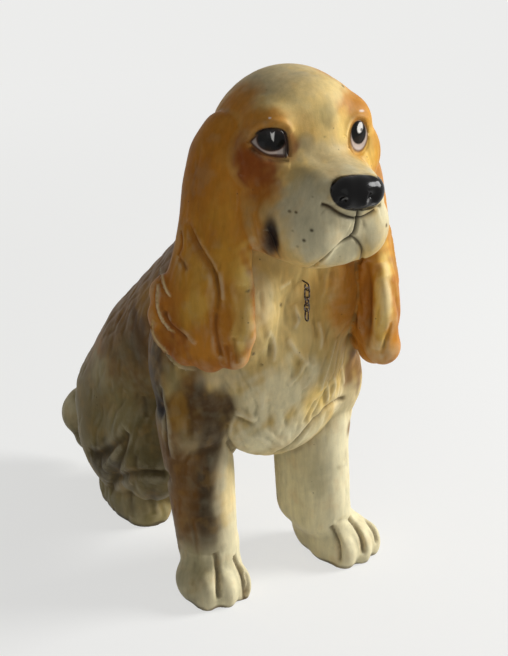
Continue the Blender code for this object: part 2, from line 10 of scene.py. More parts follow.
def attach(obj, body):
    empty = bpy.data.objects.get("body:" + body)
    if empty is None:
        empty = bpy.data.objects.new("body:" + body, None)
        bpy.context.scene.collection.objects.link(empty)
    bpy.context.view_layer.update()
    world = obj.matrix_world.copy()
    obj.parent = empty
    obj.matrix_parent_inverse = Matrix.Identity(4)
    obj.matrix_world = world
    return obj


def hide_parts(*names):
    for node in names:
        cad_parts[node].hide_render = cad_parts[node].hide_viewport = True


# A seated spaniel puppy in painted bisque porcelain. The sculpture is worked in millimetres from
# its own zero, with the dog facing -Y and its right side at -X, and placed on the frame at the end.

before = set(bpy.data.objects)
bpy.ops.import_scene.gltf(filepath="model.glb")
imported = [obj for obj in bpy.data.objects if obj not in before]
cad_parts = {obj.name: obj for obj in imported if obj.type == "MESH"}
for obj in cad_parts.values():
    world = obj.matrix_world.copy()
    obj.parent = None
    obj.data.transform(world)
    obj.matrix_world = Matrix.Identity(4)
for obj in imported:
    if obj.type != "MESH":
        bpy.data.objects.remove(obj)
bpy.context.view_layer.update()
stage = bpy.context.scene
mm = 0.001
print("frame loaded")

shot = {
    "azimuth": -32.0,  # degrees round the dog
    "elevation": 23.0,  # degrees above the table
    "distance": 600.0,
    "target": (0.0, 0.0, 82.0),
    "lens": 108.0,
    "sensor": 36.0,
    "width": 508,
    "height": 656,
}
sculptZero = np.array([-0.592, 22.8, 0.0])  # middle of the footprint, from the sculpture's zero


def viewAxes():
    turn, rise = math.radians(shot["azimuth"]), math.radians(shot["elevation"])
    back = np.array([math.sin(turn) * math.cos(rise), -math.cos(turn) * math.cos(rise), math.sin(rise)])
    right = np.array([math.cos(turn), math.sin(turn), 0.0])
    return right, np.cross(back, right), back


rightAxis, upAxis, backAxis = viewAxes()
eyePoint = np.array(shot["target"]) + backAxis * shot["distance"]
pixelScale = shot["lens"] / shot["sensor"] * shot["height"]


def sightLine(px, py):
    # the line of sight through a pixel of the photograph's frame
    across = (px - shot["width"] / 2) / pixelScale
    down = (py - shot["height"] / 2) / pixelScale
    ray = rightAxis * across - upAxis * down - backAxis
    return Vector(eyePoint), Vector(ray / np.linalg.norm(ray))


# Clay tools

def placed(name, data):
    thing = bpy.data.objects.new(name, data)
    stage.collection.objects.link(thing)
    return thing


def formed(name, work):
    mesh = bpy.data.meshes.new(name)
    work.to_mesh(mesh)
    work.free()
    return placed(name, mesh)


def readAll(things, key, size, kind=float):
    # one value of every point, edge, corner or face, as rows
    values = np.empty(len(things) * size, dtype=kind)
    things.foreach_get(key, values)
    return values.reshape(-1, size) if size > 1 else values


def ball(x, y, z, halfX, halfY, halfZ, turn=0.0, lean=0.0):
    swing = Matrix.Rotation(math.radians(turn), 4, "Z") @ Matrix.Rotation(math.radians(lean), 4, "X")
    return Matrix.Translation((x, y, z)) @ swing @ Matrix.Diagonal((halfX, halfY, halfZ, 1.0))


def limb(keys, count):
    row = []
    for step in range(count):
        along = (len(keys) - 1) * step / (count - 1)
        first = min(int(along), len(keys) - 2)
        part = along - first
        row.append(ball(*[a + (b - a) * part for a, b in zip(keys[first], keys[first + 1])]))
    return row


def mirrored(make):
    return make(-1) + make(1)


def applied(thing):
    graph = bpy.context.evaluated_depsgraph_get()
    graph.update()
    mesh = bpy.data.meshes.new_from_object(thing.evaluated_get(graph))
    thing.modifiers.clear()
    thing.data = mesh


def fused(thing, voxel, rounds):
    skin = thing.modifiers.new("fuse", "REMESH")
    skin.mode = "VOXEL"
    skin.voxel_size = voxel
    if rounds:
        soft = thing.modifiers.new("soften", "SMOOTH")
        soft.factor = 0.5
        soft.iterations = rounds
    applied(thing)


def clay(name, balls, voxel, rounds):
    work = bmesh.new()
    for shape in balls:
        bmesh.ops.create_icosphere(work, subdivisions=4, radius=1.0, matrix=shape)
    thing = formed(name, work)
    fused(thing, voxel, rounds)
    return thing


def pressedTogether(things, name, voxel, rounds):
    work = bmesh.new()
    for thing in things:
        work.from_mesh(thing.data)
        bpy.data.objects.remove(thing, do_unlink=True)
    made = formed(name, work)
    fused(made, voxel, rounds)
    return made


# Head

head = {
    "neck": 112.0,
    "side": -0.8,
    "tilt": 5.0,
    "middle": {
        "skull": (0, -14.5, 143.0, 23.8, 21.5, 24.6),
        "forehead": (0, -20.5, 152.0, 19.0, 13.0, 15.0),
        "stop": (0, -26.5, 147.0, 13.0, 7.5, 9.0),
        "jaw": (0, -30.0, 121.5, 14.0, 16.0, 8.5),
        "chin": (0, -41.0, 121.5, 8.0, 8.5, 5.0),
        "lipFill": (0, -43.3, 129.0, 6.0, 8.0, 8.0),
    },
    "sides": {
        "browBone": (12.0, -23.0, 152.5, 9.0, 10.0, 9.0),
        "temple": (15.8, -22.8, 143.0, 9.5, 10.0, 11.0),
        "cheek": (13.5, -20.0, 131.5, 12.0, 13.5, 13.5),
        "cheekFill": (10.0, -30.0, 136.0, 8.5, 9.0, 12.0),
    },
    "bridge": [(0, -25.0, 141.0, 12.5, 9.0, 9.0), (0, -45.0, 138.0, 10.0, 8.0, 7.8)],
    "muzzle": [(0, -24.0, 138.0, 14.5, 9.0, 11.0), (0, -43.0, 135.5, 12.0, 8.5, 9.5)],
    "muzzleTop": [(8.0, -26.0, 139.0, 8.5, 9.0, 9.5), (5.5, -43.0, 137.0, 7.5, 8.5, 8.3)],
    "flews": [
        (12.0, -24.0, 129.0, 11.5, 12.0, 12.0),
        (10.3, -34.3, 127.5, 10.0, 11.0, 11.0),
        (7.6, -42.0, 128.0, 8.6, 9.8, 10.6),
    ],
    "nose": (0, -50.7, 140.4, 7.3, 5.0, 5.1),
    "nosePads": (3.4, -50.3, 140.4, 5.2, 4.8, 5.0),
}


def tilted(balls):
    lean = (
        Matrix.Translation((head["side"], 0, head["neck"]))
        @ Matrix.Rotation(math.radians(head["tilt"]), 4, "Y")
        @ Matrix.Translation((0, 0, -head["neck"]))
    )
    return [lean @ shape for shape in balls]


def sided(place, side):
    return (side * place[0], *place[1:])


headBalls = [ball(*place) for place in head["middle"].values()]
headBalls += mirrored(lambda side: [ball(*sided(place, side)) for place in head["sides"].values()])
headBalls += limb(head["bridge"], 10) + limb(head["muzzle"], 10)
for pair in ("muzzleTop", "flews"):
    headBalls += mirrored(lambda side: limb([sided(key, side) for key in head[pair]], 10))
headBalls = tilted(headBalls)

# Neck, chest, back and haunches

rearSide = -3.5  # the hindquarters lie a little to the right
body = {
    "middle": {
        "chest": (1, -3.0, 82.0, 27.0, 24.0, 33.0),
        "apron": (2.5, -9.0, 65.0, 23.5, 13.0, 22.0),
        "rump": (-3.5, 56.0, 31.0, 27.0, 27.0, 32.0),
    },
    "neck": [(0, -8.5, 132.0, 22.0, 20.0, 16.0), (0, 0.0, 98.0, 25.0, 24.0, 18.0)],
    "back": [
        (0, 3.0, 99.0, 24.0, 23.0, 23.0),
        (-3.5, 42.0, 60.5, 25.0, 24.0, 24.0),
        (-3.5, 59.5, 37.0, 26.0, 25.0, 25.0),
    ],
    "bib": (14.0, -14.0, 99.0, 13.0, 14.0, 22.0),
    "shoulder": (22.0, 0.0, 76.0, 12.0, 17.0, 24.0),
    "arm": (23.0, -2.0, 62.0, 10.5, 13.0, 17.0),
    "leftArmOut": 2.6,
    "haunch": (14.5, 38.0, 34.0, 11.5, 20.0, 22.0),
    "haunchShift": (rearSide, 12.0),
}

bodyBalls = [ball(*place) for place in body["middle"].values()]
bodyBalls += limb(body["neck"], 7) + limb(body["back"], 13)
bodyBalls += mirrored(lambda side: [ball(*sided(body[name], side)) for name in ("bib", "shoulder", "arm")])
x, *rest = body["arm"]
bodyBalls.append(ball(x + body["leftArmOut"], *rest))
for side in (-1, 1):
    x, y, z, *halves = body["haunch"]
    setBack = body["haunchShift"][1] if side > 0 else 0.0
    bodyBalls.append(ball(body["haunchShift"][0] + side * x, y + setBack, z, *halves))

# Ears

ear = {
    "halfThickness": {"right": 5.8, "left": 7.2},
    "halfHeight": 8.0,
    # distance out from the middle, forward, height, half width, turn
    "right": [
        (10.0, -13.0, 149.0, 8.0, 8.0),
        (17.5, -14.5, 149.5, 9.5, 12.0),
        (21.2, -15.5, 144.5, 11.0, 14.0),
        (23.3, -17.0, 135.0, 12.3, 17.0),
        (24.8, -18.5, 125.0, 12.5, 20.0),
        (26.5, -20.0, 116.0, 13.5, 23.0),
        (28.3, -21.2, 107.0, 15.5, 25.0),
        (29.0, -21.0, 97.0, 17.0, 25.0),
        (28.8, -20.0, 93.0, 15.5, 25.0),
    ],
    "left": [
        (10.0, -13.0, 147.0, 8.0, 8.0),
        (17.5, -14.5, 146.5, 9.5, 12.0),
        (22.2, -15.5, 141.0, 11.0, 14.0),
        (25.2, -16.5, 132.0, 12.3, 17.0),
        (26.8, -17.5, 122.0, 12.5, 20.0),
        (27.6, -18.7, 111.0, 13.5, 21.0),
        (28.6, -20.8, 100.0, 16.5, 20.0),
        (28.4, -22.0, 92.0, 17.5, 19.0),
        (27.2, -22.6, 87.5, 16.5, 19.0),
    ],
    # height, share of the half width from the middle, half size of each lock on the back and lower edge
    "locks": {
        "right": [
            (104.0, 0.98, 5.0),
            (96.5, 1.02, 5.5),
            (91.0, 0.9, 5.5),
            (87.8, 0.5, 5.5),
            (87.6, -0.05, 5.5),
            (90.5, -0.6, 5.5),
        ],
        "left": [
            (98.5, 0.95, 5.5),
            (89.0, 0.98, 5.5),
            (82.0, 0.8, 5.5),
            (79.0, 0.35, 5.5),
            (79.0, -0.25, 5.5),
            (82.5, -0.75, 6.0),
        ],
    },
}


def earBalls(side):
    keys = []
    which = "left" if side > 0 else "right"
    thick = ear["halfThickness"][which]
    for out, forward, height, halfWidth, turn in ear[which]:
        keys.append((side * out, forward, height, thick, halfWidth, ear["halfHeight"], -side * turn))
    balls = limb(keys, 32)
    out, forward, _, halfWidth, turn = ear[which][-2]
    swing = Matrix.Rotation(math.radians(-side * turn), 3, "Z")
    for height, turnedFromLight, size in ear["locks"][which]:
        edge = swing @ Vector((0, turnedFromLight * (halfWidth - 0.4 * size), 0))
        balls.append(
            ball(side * out + edge.x, forward + edge.y, height, 0.8 * thick, size, size, -side * turn)
        )
    return balls


# Legs, feet and tail

foreleg = {
    "x": 20.6,
    "y": -3.0,
    "halfWidth": 8.6,
    "halfDepth": 11.5,
    "pawHeight": 14.0,
    "leftOut": 8.0,
    "leftTurn": 14.0,
}


def forelegBalls(side):
    x, y = side * foreleg["x"], foreleg["y"]
    wide, deep = foreleg["halfWidth"], foreleg["halfDepth"]
    out, turn = (foreleg["leftOut"], foreleg["leftTurn"]) if side > 0 else (0.0, 0.0)
    spread = 4.0 if side > 0 else 1.0
    balls = limb(
        [
            # elbow, middle of the leg, wrist
            (x + spread * side, y + 4, 57, wide + 2.3, deep + 2, 8),
            (x + 0.2 * spread * side, y + 1.5, 41, wide + 1.8, deep + 1, 8),
            (x + 0.3 * out - 0.5 * side, y - 2, 15, wide + 0.6, deep - 1, 8),
        ],
        14,
    )
    balls += limb([(x - 3 * side, y + 5.7, 41, 7, 10, 9), (x - 2 * side, y + 5.7, 18, 7, 8, 9)], 6)
    # the paw with its heel, then three toes
    pawX, pawY = x + out, y - 4.5
    balls.append(ball(pawX + (0.4 if side < 0 else -0.8) * side, pawY, 5.0, 10.8, 11.0, 9.2, turn))
    balls.append(ball(pawX - 2.8 * side, 1.5 * side - 2.0, 8.5, 8.5, 11.5, 12.5, turn))
    balls.append(ball(x + 0.4 * out - 1.6 * side, y + 0.8 * side, 16.0, 9.2, 11.0, 10.0, turn))
    swing = Matrix.Rotation(math.radians(turn), 3, "Z")
    for place in (-0.62, 0.0, 0.62):
        tip = swing @ Vector((place * 9.8, -7.9 + 2.2 * abs(place), 0))
        balls.append(ball(pawX - (0.8 if side > 0 else 0.0) + tip.x, pawY + tip.y, 4.2, 3.7, 5.5, 7.0, turn))
    return balls


hindFoot = {
    "out": 10.5,
    # forward, height, half sizes
    "keys": [(44, 5.7, 8.4, 7, 10.2), (53, 5.7, 8.9, 7, 13), (64, 5.7, 7.4, 7, 11.4)],
}
tail = {
    "keys": [(rearSide, 75.0, 22, 8, 8, 10.5), (-12.0, 93.5, 19, 8, 8, 8.5)],
    "tufts": [(-11.5, 91.5, 24.5, 7.0, 7.5, 4.6), (-10.5, 89.0, 11.5, 7.0, 7.0, 5.5)],
}


def hindFootBalls(side):
    return limb([(rearSide + side * hindFoot["out"], *key) for key in hindFoot["keys"]], 8)


tailBalls = limb(tail["keys"], 5) + [ball(*tuft) for tuft in tail["tufts"]]

groups = {
    "body": bodyBalls,
    "head": headBalls,
    "rightEar": earBalls(-1),
    "leftEar": earBalls(1),
    "rightForeleg": forelegBalls(-1),
    "leftForeleg": forelegBalls(1),
    "rightHindFoot": hindFootBalls(-1),
    "leftHindFoot": hindFootBalls(1),
    "tail": tailBalls,
}
trunk = clay("trunk", groups["body"] + groups["head"], 1.0, 20)
softening = {"rightEar": 16, "leftEar": 16, "rightForeleg": 14, "leftForeleg": 14}  # rounds, 8 for the others
limbNames = [name for name in groups if name not in ("body", "head")]
limbs = [clay(name, groups[name], 1.0, softening.get(name, 8)) for name in limbNames]
noseBalls = [ball(*head["nose"])] + mirrored(lambda side: [ball(*sided(head["nosePads"], side))])
nosePad = clay("nosePad", tilted(noseBalls), 0.5, 3)
skin = pressedTogether([trunk, nosePad] + limbs, "skin", 0.6, 5)
print("clay fused,", len(skin.data.vertices), "points")

# The face gets a finer skin, so that its carving stays crisp.

fine = {
    "front": -12.0,
    "floor": 116.0,
    "cuts": 1,
    "eyes": ((-12.1, -32.4, 152.0), (17.4, -32.4, 150.1)),
    "eyeReach": 6.0,
}
work = bmesh.new()
work.from_mesh(skin.data)


def refine(inside):
    edges = [edge for edge in work.edges if all(inside(point.co) for point in edge.verts)]
    bmesh.ops.subdivide_edges(work, edges=edges, cuts=fine["cuts"], use_grid_fill=True)


refine(lambda place: place.y < fine["front"] and place.z > fine["floor"])
for eye in fine["eyes"]:
    refine(lambda place: (place - Vector(eye)).length < fine["eyeReach"])
work.normal_update()
work.to_mesh(skin.data)
work.free()

skinTree = BVHTree.FromPolygons(
    [point.co.copy() for point in skin.data.vertices], [tuple(face.vertices) for face in skin.data.polygons]
)
print("face refined,", len(skin.data.vertices), "points")


def onSkin(px, py):
    # the point of the clay that lies behind a pixel of the photograph's frame
    start, along = sightLine(px, py)
    return skinTree.ray_cast(start, along)[0]


def nearSkin(place):
    return skinTree.find_nearest(Vector(place))[0]


def softened(path, rounds=2):
    # corners cut off, so that a stroke drawn through a few points runs in a curve
    for _ in range(rounds):
        cut = [path[0]]
        for first, second in zip(path[:-1], path[1:]):
            cut.append(first + (second - first) * 0.25)
            cut.append(first + (second - first) * 0.75)
        path = cut + [path[-1]]
    return path


def spaced(path, gap):
    row = []
    for first, second in zip(path[:-1], path[1:]):
        count = max(1, int((second - first).length / gap))
        row += [first.lerp(second, step / count) for step in range(count)]
    return row + [path[-1]]


def traced(*pixels):
    # a route over the skin, drawn through pixels of the photograph's frame
    row = spaced(softened([Vector(pixel) for pixel in pixels]), 2.0)
    hits = [onSkin(*pixel) for pixel in row]
    return np.array([hit for hit in hits if hit])


count = len(skin.data.vertices)
clayPoints = readAll(skin.data.vertices, "co", 3)
clayFacing = readAll(skin.data.vertices, "normal", 3)
clayRest = clayPoints.copy()
clayMove = np.zeros(count)


def within(low, high):
    return np.where(np.all((clayRest > low) & (clayRest < high), axis=1))[0]


def around(route, gap):
    return within(route.min(axis=0) - gap, route.max(axis=0) + gap)


def endFade(along, fade):
    # one along most of a route, down to nothing at its two ends
    return np.sqrt(np.clip(np.minimum(along, 1 - along) / fade, 0, 1)) if fade else 1.0


def nearest(route, chosen):
    # how far each chosen point is from the route, and how far along the route its nearest place is
    best = np.full(len(chosen), 1e9)
    along = np.zeros(len(chosen))
    for step, (first, second) in enumerate(zip(route[:-1], route[1:])):
        run = second - first
        part = np.clip((clayRest[chosen] - first) @ run / max(run @ run, 1e-9), 0, 1)
        gap = np.linalg.norm(clayRest[chosen] - first - part[:, None] * run, axis=1)
        closer = gap < best
        best[closer] = gap[closer]
        along[closer] = (step + part[closer]) / (len(route) - 1)
    return best, along


def stroke(route, width, depth, fade=0.25):
    # a groove along the route where depth is positive, a raised lock where it is negative
    if len(route) < 2:
        return
    chosen = around(route, 3 * width)
    gap, along = nearest(route, chosen)
    clayMove[chosen] -= depth * np.exp(-((gap / width) ** 2)) * endFade(along, fade)


def carve(strokes, fade=0.25):
    # each row: route through the photograph's frame, width, depth and, where it has its own, fade
    for pixels, width, depth, *own in strokes:
        stroke(traced(*pixels), width, depth, *(own or [fade]))


def lipEdge(route, width, height, towards):
    # a raised edge along the route: the skin on the side of towards stands up, and slopes off into it
    chosen = around(route, 4 * width)
    gap, along = nearest(route, chosen)
    middle = route[np.clip((along * (len(route) - 1)).astype(int), 0, len(route) - 1)]
    side = np.sign((clayRest[chosen] - middle) @ np.array(towards))
    raised = np.where(side > 0, np.exp(-((gap / (2.2 * width)) ** 2)), np.exp(-((gap / (0.35 * width)) ** 2)))
    clayMove[chosen] += height * raised * endFade(along, 0.2)


def press(centre, halves, depth, axes=None):
    # a dent where depth is positive, a swelling where it is negative
    centre = np.array(centre)
    chosen = within(centre - 2.2 * max(halves), centre + 2.2 * max(halves))
    offset = clayRest[chosen] - centre
    if axes is not None:
        offset = offset @ np.array(axes).T
    away = np.linalg.norm(offset / np.array(halves), axis=1)
    clayMove[chosen] -= depth * np.exp(-(away**2))


def viewed(px, py, halfAcross, halfDown, depth, deep=3.0):
    # a dent or swelling laid out in the photograph's frame
    press(onSkin(px, py), (halfAcross, halfDown, deep), depth, (rightAxis, upAxis, backAxis))


def mirroredRoute(route, shift):
    # the same stroke on the other side of the dog, laid back on the skin there
    return np.array([nearSkin((-x + shift[0], y + shift[1], z + shift[2])) for x, y, z in route])


lockStep = 1.2


def combed(low, high, flow, locks, length, width, depth, seed, facing=None):
    # fine locks that follow the coat: each one wanders a little as it runs along the flow
    source = np.random.default_rng(seed)
    chosen = within(np.array(low), np.array(high))
    if facing is not None:
        chosen = chosen[clayFacing[chosen] @ np.array(facing) > 0.25]
    for index in source.choice(chosen, locks):
        place = Vector(clayRest[index])
        phase, run = source.uniform(0, 6.3), length * source.uniform(0.6, 1.3)
        strength = source.uniform(0.5, 1.2)
        row = []
        for step in range(int(run / lockStep)):
            place, facingHere, _, _ = skinTree.find_nearest(place)
            row.append(np.array(place))
            heading = Vector(flow(place)).normalized()
            heading += 0.30 * math.sin(phase + 0.45 * step) * heading.cross(facingHere)
            heading -= heading.dot(facingHere) * facingHere
            place = place + lockStep * heading.normalized()
        if len(row) > 2:
            stroke(np.array(row), width * source.uniform(0.8, 1.3), depth * strength, 0.5)


def settle():
    # gives the strokes drawn so far to the clay
    global clayMove
    clayPoints[:] += clayFacing * clayMove[:, None]
    clayMove = np.zeros(len(clayPoints))


# Face: lids, lips, nostrils and cheeks, laid out in pixels of the photograph's frame

eyeSockets = [
    # pixel, half width, half height
    (271.5, 140.5, 4.6, 3.4),
    (358.6, 135.0, 3.3, 4.2),
]
faceStrokes = [
    # near eye
    (((247, 143), (256, 131), (270, 126.5), (284, 128), (289, 140), (289, 157)), 0.5, 0.5, 0.1),
    (((246, 137), (256, 125), (270, 120.5), (286, 122), (293, 133)), 1.1, -0.5),
    (((250, 145), (262, 155), (276, 159), (289, 160)), 0.5, 0.35, 0.15),
    (((250, 151), (262, 161), (276, 165), (290, 166)), 1.2, -0.35),
    # far eye
    (((350, 148), (349, 133), (353, 121.5), (361, 119), (367.5, 124), (369, 134)), 0.5, 0.45, 0.1),
    (((350, 146), (354, 153), (362, 154), (368, 147), (369, 136)), 0.5, 0.35, 0.1),
    (((346, 136), (350, 119), (361, 114), (370, 120)), 1.0, -0.4),
    # folds under the nose, then the lips
    (((320.5, 204), (329, 206.5), (337.4, 213.2), (348.3, 218), (355.6, 219.2)), 0.55, 0.9, 0.12),
    (((356, 219.4), (360.5, 218.6), (369, 214.4), (376.2, 209.5), (381, 205)), 0.55, 0.9, 0.12),
    (((359.2, 210), (357.4, 221), (355, 233.2), (351, 237)), 0.6, 1.0, 0.08),
    (((353, 236.4), (341, 244), (327.7, 257.4), (318, 264.7), (312, 268)), 0.6, 1.2, 0.08),
    (((350, 237), (355.6, 238.6), (360.5, 245.3), (362.9, 251.4), (362.3, 259), (358, 265)), 0.5, 0.8, 0.08),
    (((324, 211), (336, 220), (350, 226)), 1.8, -0.5),
    (((364, 224), (372, 219), (380, 213)), 1.6, -0.4),
    # wings of the nose
    (((333, 205), (331, 198), (334, 190)), 0.9, -0.35),
    (((348, 207), (349, 199), (346, 194)), 0.8, -0.3),
    (((365, 206), (366, 199), (370, 192)), 0.8, -0.3),
    # corner of the mouth
    (((263, 232), (266, 246), (274, 255), (279, 259)), 0.9, 0.9),
]
facePresses = [
    # pixel, half across, half down, depth
    (340, 254, 4.6, 4.2, 1.2),
    (342.3, 201.7, 1.5, 1.2, 1.5),
    (339.5, 205.0, 2.2, 0.6, 0.5),
    (373.8, 197.5, 1.4, 1.5, 1.5),
    (357.0, 206.0, 1.4, 2.4, 0.4),
    (270, 243, 2.6, 5.5, 2.0),
    (322, 160, 7.0, 3.0, 0.5),
]
for px, py, across, down in eyeSockets:
    viewed(px, py, 1.7 * across, 1.9 * down, 0.9)
    viewed(px, py, 0.95 * across, 0.95 * down, -1.0)
carve(faceStrokes)
for pressed in facePresses:
    viewed(*pressed)
settle()
print("face carved")

# Ears: a long fold, the thin edges of the locks on the back and hem, and the front rim

leftEarShift = (0.0, 1.0, -8.0)
longFold = ((187, 221), (192.7, 238.3), (201.8, 254.6), (212, 267.9))
longFold += ((217.1, 282.1), (218.2, 296.4), (216.1, 311.7))
earFolds = [
    # route through the photograph's frame, width, depth
    (longFold, 1.1, 1.25),
    (((216.1, 311.7), (214.1, 327), (217.1, 342.3), (220.2, 357)), 0.9, 0.8),
    (((193.5, 229), (200.8, 240.3), (209, 254.6), (216.5, 268), (221, 284), (222, 300)), 1.0, -0.7),
    (((177.9, 257.7), (182, 263), (186.5, 270)), 0.7, 0.5),
    (((180.5, 230), (181.4, 243), (177.5, 256)), 0.6, 0.5),
    (((167.1, 313.8), (172.2, 323), (181.4, 329.1), (190.6, 337.2), (196, 344)), 1.1, -0.6),
    (((164.5, 311), (169.5, 322), (178.5, 330.5), (188, 339)), 0.8, 0.6),
    (((243, 285), (242.5, 300), (240, 320), (237, 342)), 1.6, 0.5),
    (((233, 338), (235, 350), (237.5, 364)), 0.7, 0.5),
    (((226, 345), (228, 358), (229, 369)), 0.8, 0.4),
]
backLock = ((157.5, 284), (156.4, 298.5), (157.4, 309.7), (162, 320.9), (168.2, 328.1), (174, 333))
earEdges = [
    # route, width, height, towards the lit side of the edge
    (((160, 266), (162, 273), (163, 282.1), (166, 290), (170, 297)), 0.6, 0.5, (12, 3)),
    (backLock, 0.65, 0.7, (12, -6)),
    (((152.5, 320), (151.5, 329.1), (154.9, 338.3), (161, 346.4), (166, 351)), 0.7, 0.7, (12, -6)),
    (((164, 347), (169.2, 357.7), (176.3, 364.8), (185.5, 368.9), (196, 370)), 0.7, 0.7, (6, -12)),
]


def pixelAim(pixels, offset):
    # the way over the skin from the middle of a route to a place off to its side
    px, py = pixels[len(pixels) // 2]
    here, there = onSkin(px, py), onSkin(px + offset[0], py + offset[1])
    return there - here if here and there else Vector((0, 0, 1))


for pixels, width, depth in earFolds:
    route = traced(*pixels)
    stroke(route, width, depth, 0.2)
    stroke(mirroredRoute(route, leftEarShift), width, depth, 0.2)
for pixels, width, height, offset in earEdges:
    route = traced(*pixels)
    aim = pixelAim(pixels, offset)
    lipEdge(route, width, height, aim)
    lipEdge(mirroredRoute(route, leftEarShift), width, height, (-aim.x, aim.y, aim.z))
farEarLocks = [
    (((368, 262), (368.5, 290), (368, 320), (366, 346)), 1.5, 1.3),
    (((381, 262), (383.5, 285), (385, 305), (383, 322), (378, 340), (376, 350)), 2.0, -1.2),
    (((360, 270), (359, 300), (359, 330)), 1.6, -0.5),
    (((391, 322), (388, 333), (384, 345), (381, 355)), 0.6, 0.5),
    (((224, 106), (226.5, 122), (231, 140), (237, 157), (240, 175)), 1.3, 0.5, 0.4),  # root of the near ear
]
carve(farEarLocks, 0.3)
settle()

# Chest: its lower edge stands over the far leg, with long shallow locks above it

apronHem = ((345, 398), (334.7, 402.7), (325.8, 409), (319.4, 416.7), (311.7, 423.1))
apronHem += ((304.1, 433.3), (293.9, 444.7), (281.1, 451.1), (270, 457))
apronEdge = traced(*apronHem)
stroke(apronEdge, 0.8, 1.3, 0.1)
chestLocks = [
    (((287.5, 338.9), (296.4, 351.6), (306.6, 363.1), (314.3, 367)), 1.1, -0.45),
    (((336, 338.9), (330.9, 352.9), (327, 366.9), (321.9, 381), (320.7, 391.2)), 0.9, -0.55),
    (((304.1, 359.3), (300.3, 370.8), (293.9, 379.7), (287.5, 384.8)), 0.9, -0.5),
    (((309.2, 378.4), (306.6, 384.8), (302.8, 388.6)), 0.7, -0.4),
    (((333.4, 375.9), (334.7, 384.8), (330.9, 397.6)), 0.8, -0.5),
    (((327, 382), (328.3, 392.4), (327, 402.6)), 0.7, -0.4),
    (((293.9, 304.4), (296.4, 312.1), (299, 321), (293.9, 328.7)), 0.8, -0.35),
    (((279.8, 289.1), (285, 284), (291.3, 281.5)), 0.8, -0.35),
    (((235.2, 410.3), (245.4, 416.7), (256.9, 420.5)), 1.2, -0.6),
    (((233, 415), (244, 422), (256, 426)), 1.0, 0.5),
    (((253.1, 434.5), (263.3, 439.6), (273.5, 448.6)), 0.9, -0.4),
    (((262, 430), (272, 436), (283, 447)), 0.8, -0.35),
    (((237.8, 411), (230.1, 427), (227.6, 442)), 1.0, -0.5),
    (((228, 424), (227.5, 440), (234, 454)), 0.7, 0.6),
    (((316, 400), (310, 413), (303, 424)), 0.8, 0.35),
    (((322, 396), (317, 410), (310, 421)), 0.7, 0.35),
    (((343, 352), (341, 368), (344, 384)), 0.8, -0.35),
    (((256, 385), (262, 396), (262, 410)), 1.1, -0.35),
    (((270, 330), (275, 345), (274, 362)), 1.2, -0.3),
    (((318, 322), (322, 336), (320, 350)), 1.0, -0.3),
]
for pixels, width, depth in chestLocks:
    stroke(traced(*pixels), width, 1.6 * depth, 0.35)
throatLock = ((255, 247), (247, 262), (250, 280), (256, 296))
stroke(traced(*throatLock), 1.6, -0.5, 0.35)


def downChest(place):
    return (-0.12 * place.x / 10, -0.1, -1.0)


combed((-22, -40, 48), (24, -14, 112), downChest, 170, 12.0, 0.7, 0.26, 11, (0, -1, 0.2))

# Legs and paws

toeGrooves = [
    (((214.5, 553), (216.9, 561), (217.8, 577.5), (219, 599)), 0.75, 1.4),
    (((234, 556), (239, 567), (243.8, 581), (245, 600)), 0.75, 1.3),
    (((246, 572), (249, 582), (247.5, 594)), 0.6, 0.9),
    (((194.5, 562), (192.5, 574), (192, 586)), 1.0, 0.25),
    (((331.5, 526), (335.5, 533.5), (339, 546.6), (339.2, 562.5)), 0.75, 1.4),
    (((350, 517.5), (356, 526), (361.4, 536.8), (364.2, 554)), 0.75, 1.3),
    (((364, 517), (371, 526), (375.5, 534), (377, 543)), 0.65, 0.9),
]
carve(toeGrooves, 0.15)
legCrease = ((161.2, 387), (160.1, 396), (163.4, 409), (164.5, 421), (164.8, 438), (169, 457.5))
legStrokes = [
    (((335, 524), (345, 519), (353, 520)), 1.0, 0.5, 0.3),
    (((178, 548), (186, 556), (198, 559)), 1.6, 0.35, 0.3),
    (legCrease, 0.9, 0.9, 0.25),
    (((165, 390), (164.5, 400), (168, 412), (169.5, 425), (170, 440), (174, 460)), 1.2, -0.5, 0.3),
    (((348, 455), (345, 462), (338, 468)), 0.8, -0.5, 0.3),
]
carve(legStrokes)
elbowDent = (159.5, 409, 2.0, 3.2, 1.6)
viewed(*elbowDent)

# Haunch, hind foot and tail, and the same creases on the hidden side

rearCreases = [
    (((125.4, 430.4), (119.5, 441), (107, 452), (96.2, 456.5), (89, 453)), 1.5, 1.3),
    (((125.5, 431), (123.5, 446.7), (116, 466), (110, 489)), 1.4, 1.2),
    (((118, 446), (112, 458), (104, 470)), 1.4, -0.7),
    (((109.2, 490), (115.7, 479.2), (128.7, 475.5), (141.7, 473.8), (163.4, 474.9), (170, 477)), 1.3, 1.5),
    (((131, 485), (130, 500), (132, 518)), 1.1, 0.45),
    (((153, 484), (152, 500), (153, 516)), 1.1, 0.4),
    (((135.5, 455), (134.5, 463), (136, 470)), 0.7, 0.35),
    (((143, 396), (146, 406), (146, 418)), 0.8, 0.35),
]
rearShift = (2 * rearSide, 9.0, 0.0)
for pixels, width, depth in rearCreases:
    route = traced(*pixels)
    stroke(route, 1.15 * width, 1.25 * depth, 0.3)
    stroke(mirroredRoute(route, rearShift), 1.6 * width, 0.6 * depth, 0.4)
settle()


def alongBack(place):
    return (0.25 * place.x / 25, 0.72, -0.69)


def downNape(place):
    return (0.05 * place.x, 0.8, -0.6)


